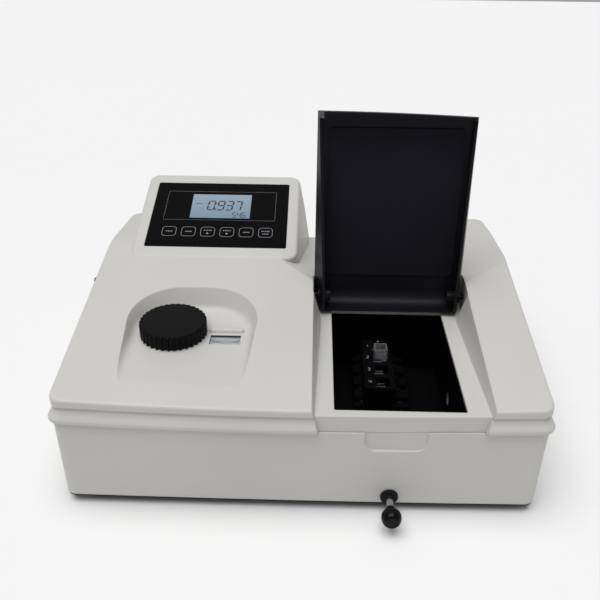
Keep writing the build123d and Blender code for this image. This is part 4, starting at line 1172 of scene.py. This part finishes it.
@dataclass
class SampleCompartment:
    """Light-tight tub, rails, sliding cell carriage, cuvette and pull rod."""

    nodes: tuple[str, ...] = (
        "sample_tub", "beam_windows", "carriage_rails", "cell_carriage", "cell_clips", "cuvette",
        "pull_rod", "rod_knob", "rod_escutcheon", "rod_guide", "detector_box", "photodiode",
    )
    cells: int = 4
    pitch: float = 0.020
    label_side: float = 0.0118
    label_size: float = 0.0042
    arrow: float = 0.0022

    def build(self, palette: Palette) -> None:
        """Dress the compartment and number the cells.

        Args:
            palette: the finishes.
        """
        palette.dress(*self.nodes)
        low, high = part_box("cell_carriage")
        seat_low, seat_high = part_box("cuvette")
        middle = (seat_low + seat_high) / 2
        across, up = Vector((1.0, 0.0, 0.0)), Vector((0.0, 1.0, 0.0))
        groups = []
        for cell in range(self.cells):
            y = middle.y + self.pitch * (1 - cell)
            seat = plane_at(Vector((middle.x - self.label_side, y, high.z)), across, up)
            groups.append((figure_shapes(str(cell + 1), self.label_size), seat))
        a = self.arrow / 2
        tip = plane_at(Vector((middle.x, high.y - self.arrow * 0.75, high.z)), across, up)
        groups.append(([[(-1.3 * a, -a), (1.3 * a, -a), (0.0, a)]], tip))
        Piece("cell_figures", "carriage", Slot.PRINT_WHITE).add(print_mesh(groups), palette)


@dataclass
class Lamps:
    """Lamp house, both lamps and the selector mirror with its lever."""

    nodes: tuple[str, ...] = (
        "lamp_housing", "tungsten_lamp", "deuterium_lamp", "lamp_mirror", "selector_lever",
    )

    def build(self, palette: Palette) -> None:
        """Dress the lamp nodes."""
        palette.dress(*self.nodes)


@dataclass
class Power:
    """Transformer, main board, sockets, switch and fan."""

    nodes: tuple[str, ...] = (
        "transformer", "main_board", "power_inlet", "switch_body", "power_rocker", "rocker_pin",
        "fuse_holder", "serial_port", "fan_frame", "fan_rotor", "fan_guard",
    )

    def build(self, palette: Palette) -> None:
        """Dress the power nodes."""
        palette.dress(*self.nodes)


@dataclass
class Studio:
    """Camera, pale floor and soft light."""

    eye: tuple[float, float, float] = (0.0095, -0.6180, 0.4766)
    pitch: float = math.radians(29.93)
    heading: float = math.radians(1.0)
    roll: float = math.radians(0.63)
    lens: float = 43.9
    sensor: float = 36.0
    floor_size: float = 6.0
    floor_drop: float = 0.0002
    floor_tone: Colour = (0.8, 0.8, 0.8)
    sky: float = 0.34
    overhead: float = 2.6
    softness: float = math.radians(55.0)
    lean: tuple[float, float, float] = (math.radians(9.0), math.radians(-8.0), 0.0)

    def build(self) -> None:
        """Make the camera, the floor and the lights."""
        self.camera()
        self.floor()
        self.lights()

    def camera(self) -> None:
        """Stand the camera in front, looking down at the instrument."""
        data = bpy.data.cameras.new("camera")
        data.lens = self.lens
        data.sensor_width = self.sensor
        data.clip_start = 0.01
        camera = bpy.data.objects.new("camera", data)
        bpy.context.scene.collection.objects.link(camera)
        aim = Matrix.Rotation(self.heading, 4, "Z") @ Matrix.Rotation(math.pi / 2 - self.pitch, 4, "X")
        camera.matrix_world = Matrix.Translation(self.eye) @ aim @ Matrix.Rotation(self.roll, 4, "Z")
        bpy.context.scene.camera = camera

    def floor(self) -> None:
        """Lay the pale floor."""
        build = bmesh.new()
        bmesh.ops.create_grid(build, x_segments=2, y_segments=2, size=self.floor_size / 2)
        mesh = bpy.data.meshes.new("floor")
        build.to_mesh(mesh)
        build.free()
        mesh.transform(Matrix.Translation((0.0, 0.0, -self.floor_drop)))
        mesh.materials.append(self.floor_material())
        floor = bpy.data.objects.new("floor", mesh)
        bpy.context.scene.collection.objects.link(floor)

    def floor_material(self) -> bpy.types.Material:
        """Make the matt floor.

        Returns:
            The material.
        """
        material = bpy.data.materials.new("floor")
        material.use_nodes = True
        tree = material.node_tree
        nodes, links = tree.nodes, tree.links
        nodes.clear()
        place = nodes.new("ShaderNodeTexCoord")
        place.label = "place on the floor"
        cloudy = nodes.new("ShaderNodeTexNoise")
        cloudy.label = "faint unevenness"
        cloudy.inputs["Scale"].default_value = 2.0
        tint = nodes.new("ShaderNodeMix")
        tint.label = "pale sheet"
        tint.data_type = "RGBA"
        tint.inputs["A"].default_value = opaque(tuple(c * 0.99 for c in self.floor_tone))
        tint.inputs["B"].default_value = opaque(self.floor_tone)
        surface = nodes.new("ShaderNodeBsdfPrincipled")
        surface.label = "matt sheet"
        surface.inputs["Roughness"].default_value = 0.9
        surface.inputs["Specular IOR Level"].default_value = 0.1
        output = nodes.new("ShaderNodeOutputMaterial")
        output.label = "finish"
        links.new(place.outputs["Object"], cloudy.inputs["Vector"])
        links.new(cloudy.outputs["Fac"], tint.inputs["Factor"])
        links.new(tint.outputs["Result"], surface.inputs["Base Color"])
        links.new(surface.outputs["BSDF"], output.inputs["Surface"])
        lay_out(tree, {"sheet": [place, cloudy, tint], "surface": [surface, output]})
        return material

    def lights(self) -> None:
        """Hang one broad overhead light and set the sky."""
        data = bpy.data.lights.new("overhead", "SUN")
        data.energy = self.overhead
        data.angle = self.softness
        light = bpy.data.objects.new("overhead", data)
        bpy.context.scene.collection.objects.link(light)
        light.rotation_euler = self.lean
        world = bpy.data.worlds.new("sky")
        world.use_nodes = True
        background = world.node_tree.nodes["Background"]
        background.inputs["Color"].default_value = (1.0, 1.0, 1.0, 1.0)
        background.inputs["Strength"].default_value = self.sky
        bpy.context.scene.world = world
        bpy.context.scene.view_settings.view_transform = "Standard"


def main() -> None:
    """Build the instrument, one sub-assembly after another, and the studio."""
    logging.basicConfig(level=logging.INFO, format="%(name)s: %(message)s")
    palette = Palette()
    parts = (
        CaseShell(), Lid(), Console(), WavelengthDrive(), Monochromator(), SampleCompartment(), Lamps(),
        Power(),
    )
    for part in parts:
        part.build(palette)
    Studio().build()


if __name__ == "__main__":
    main()
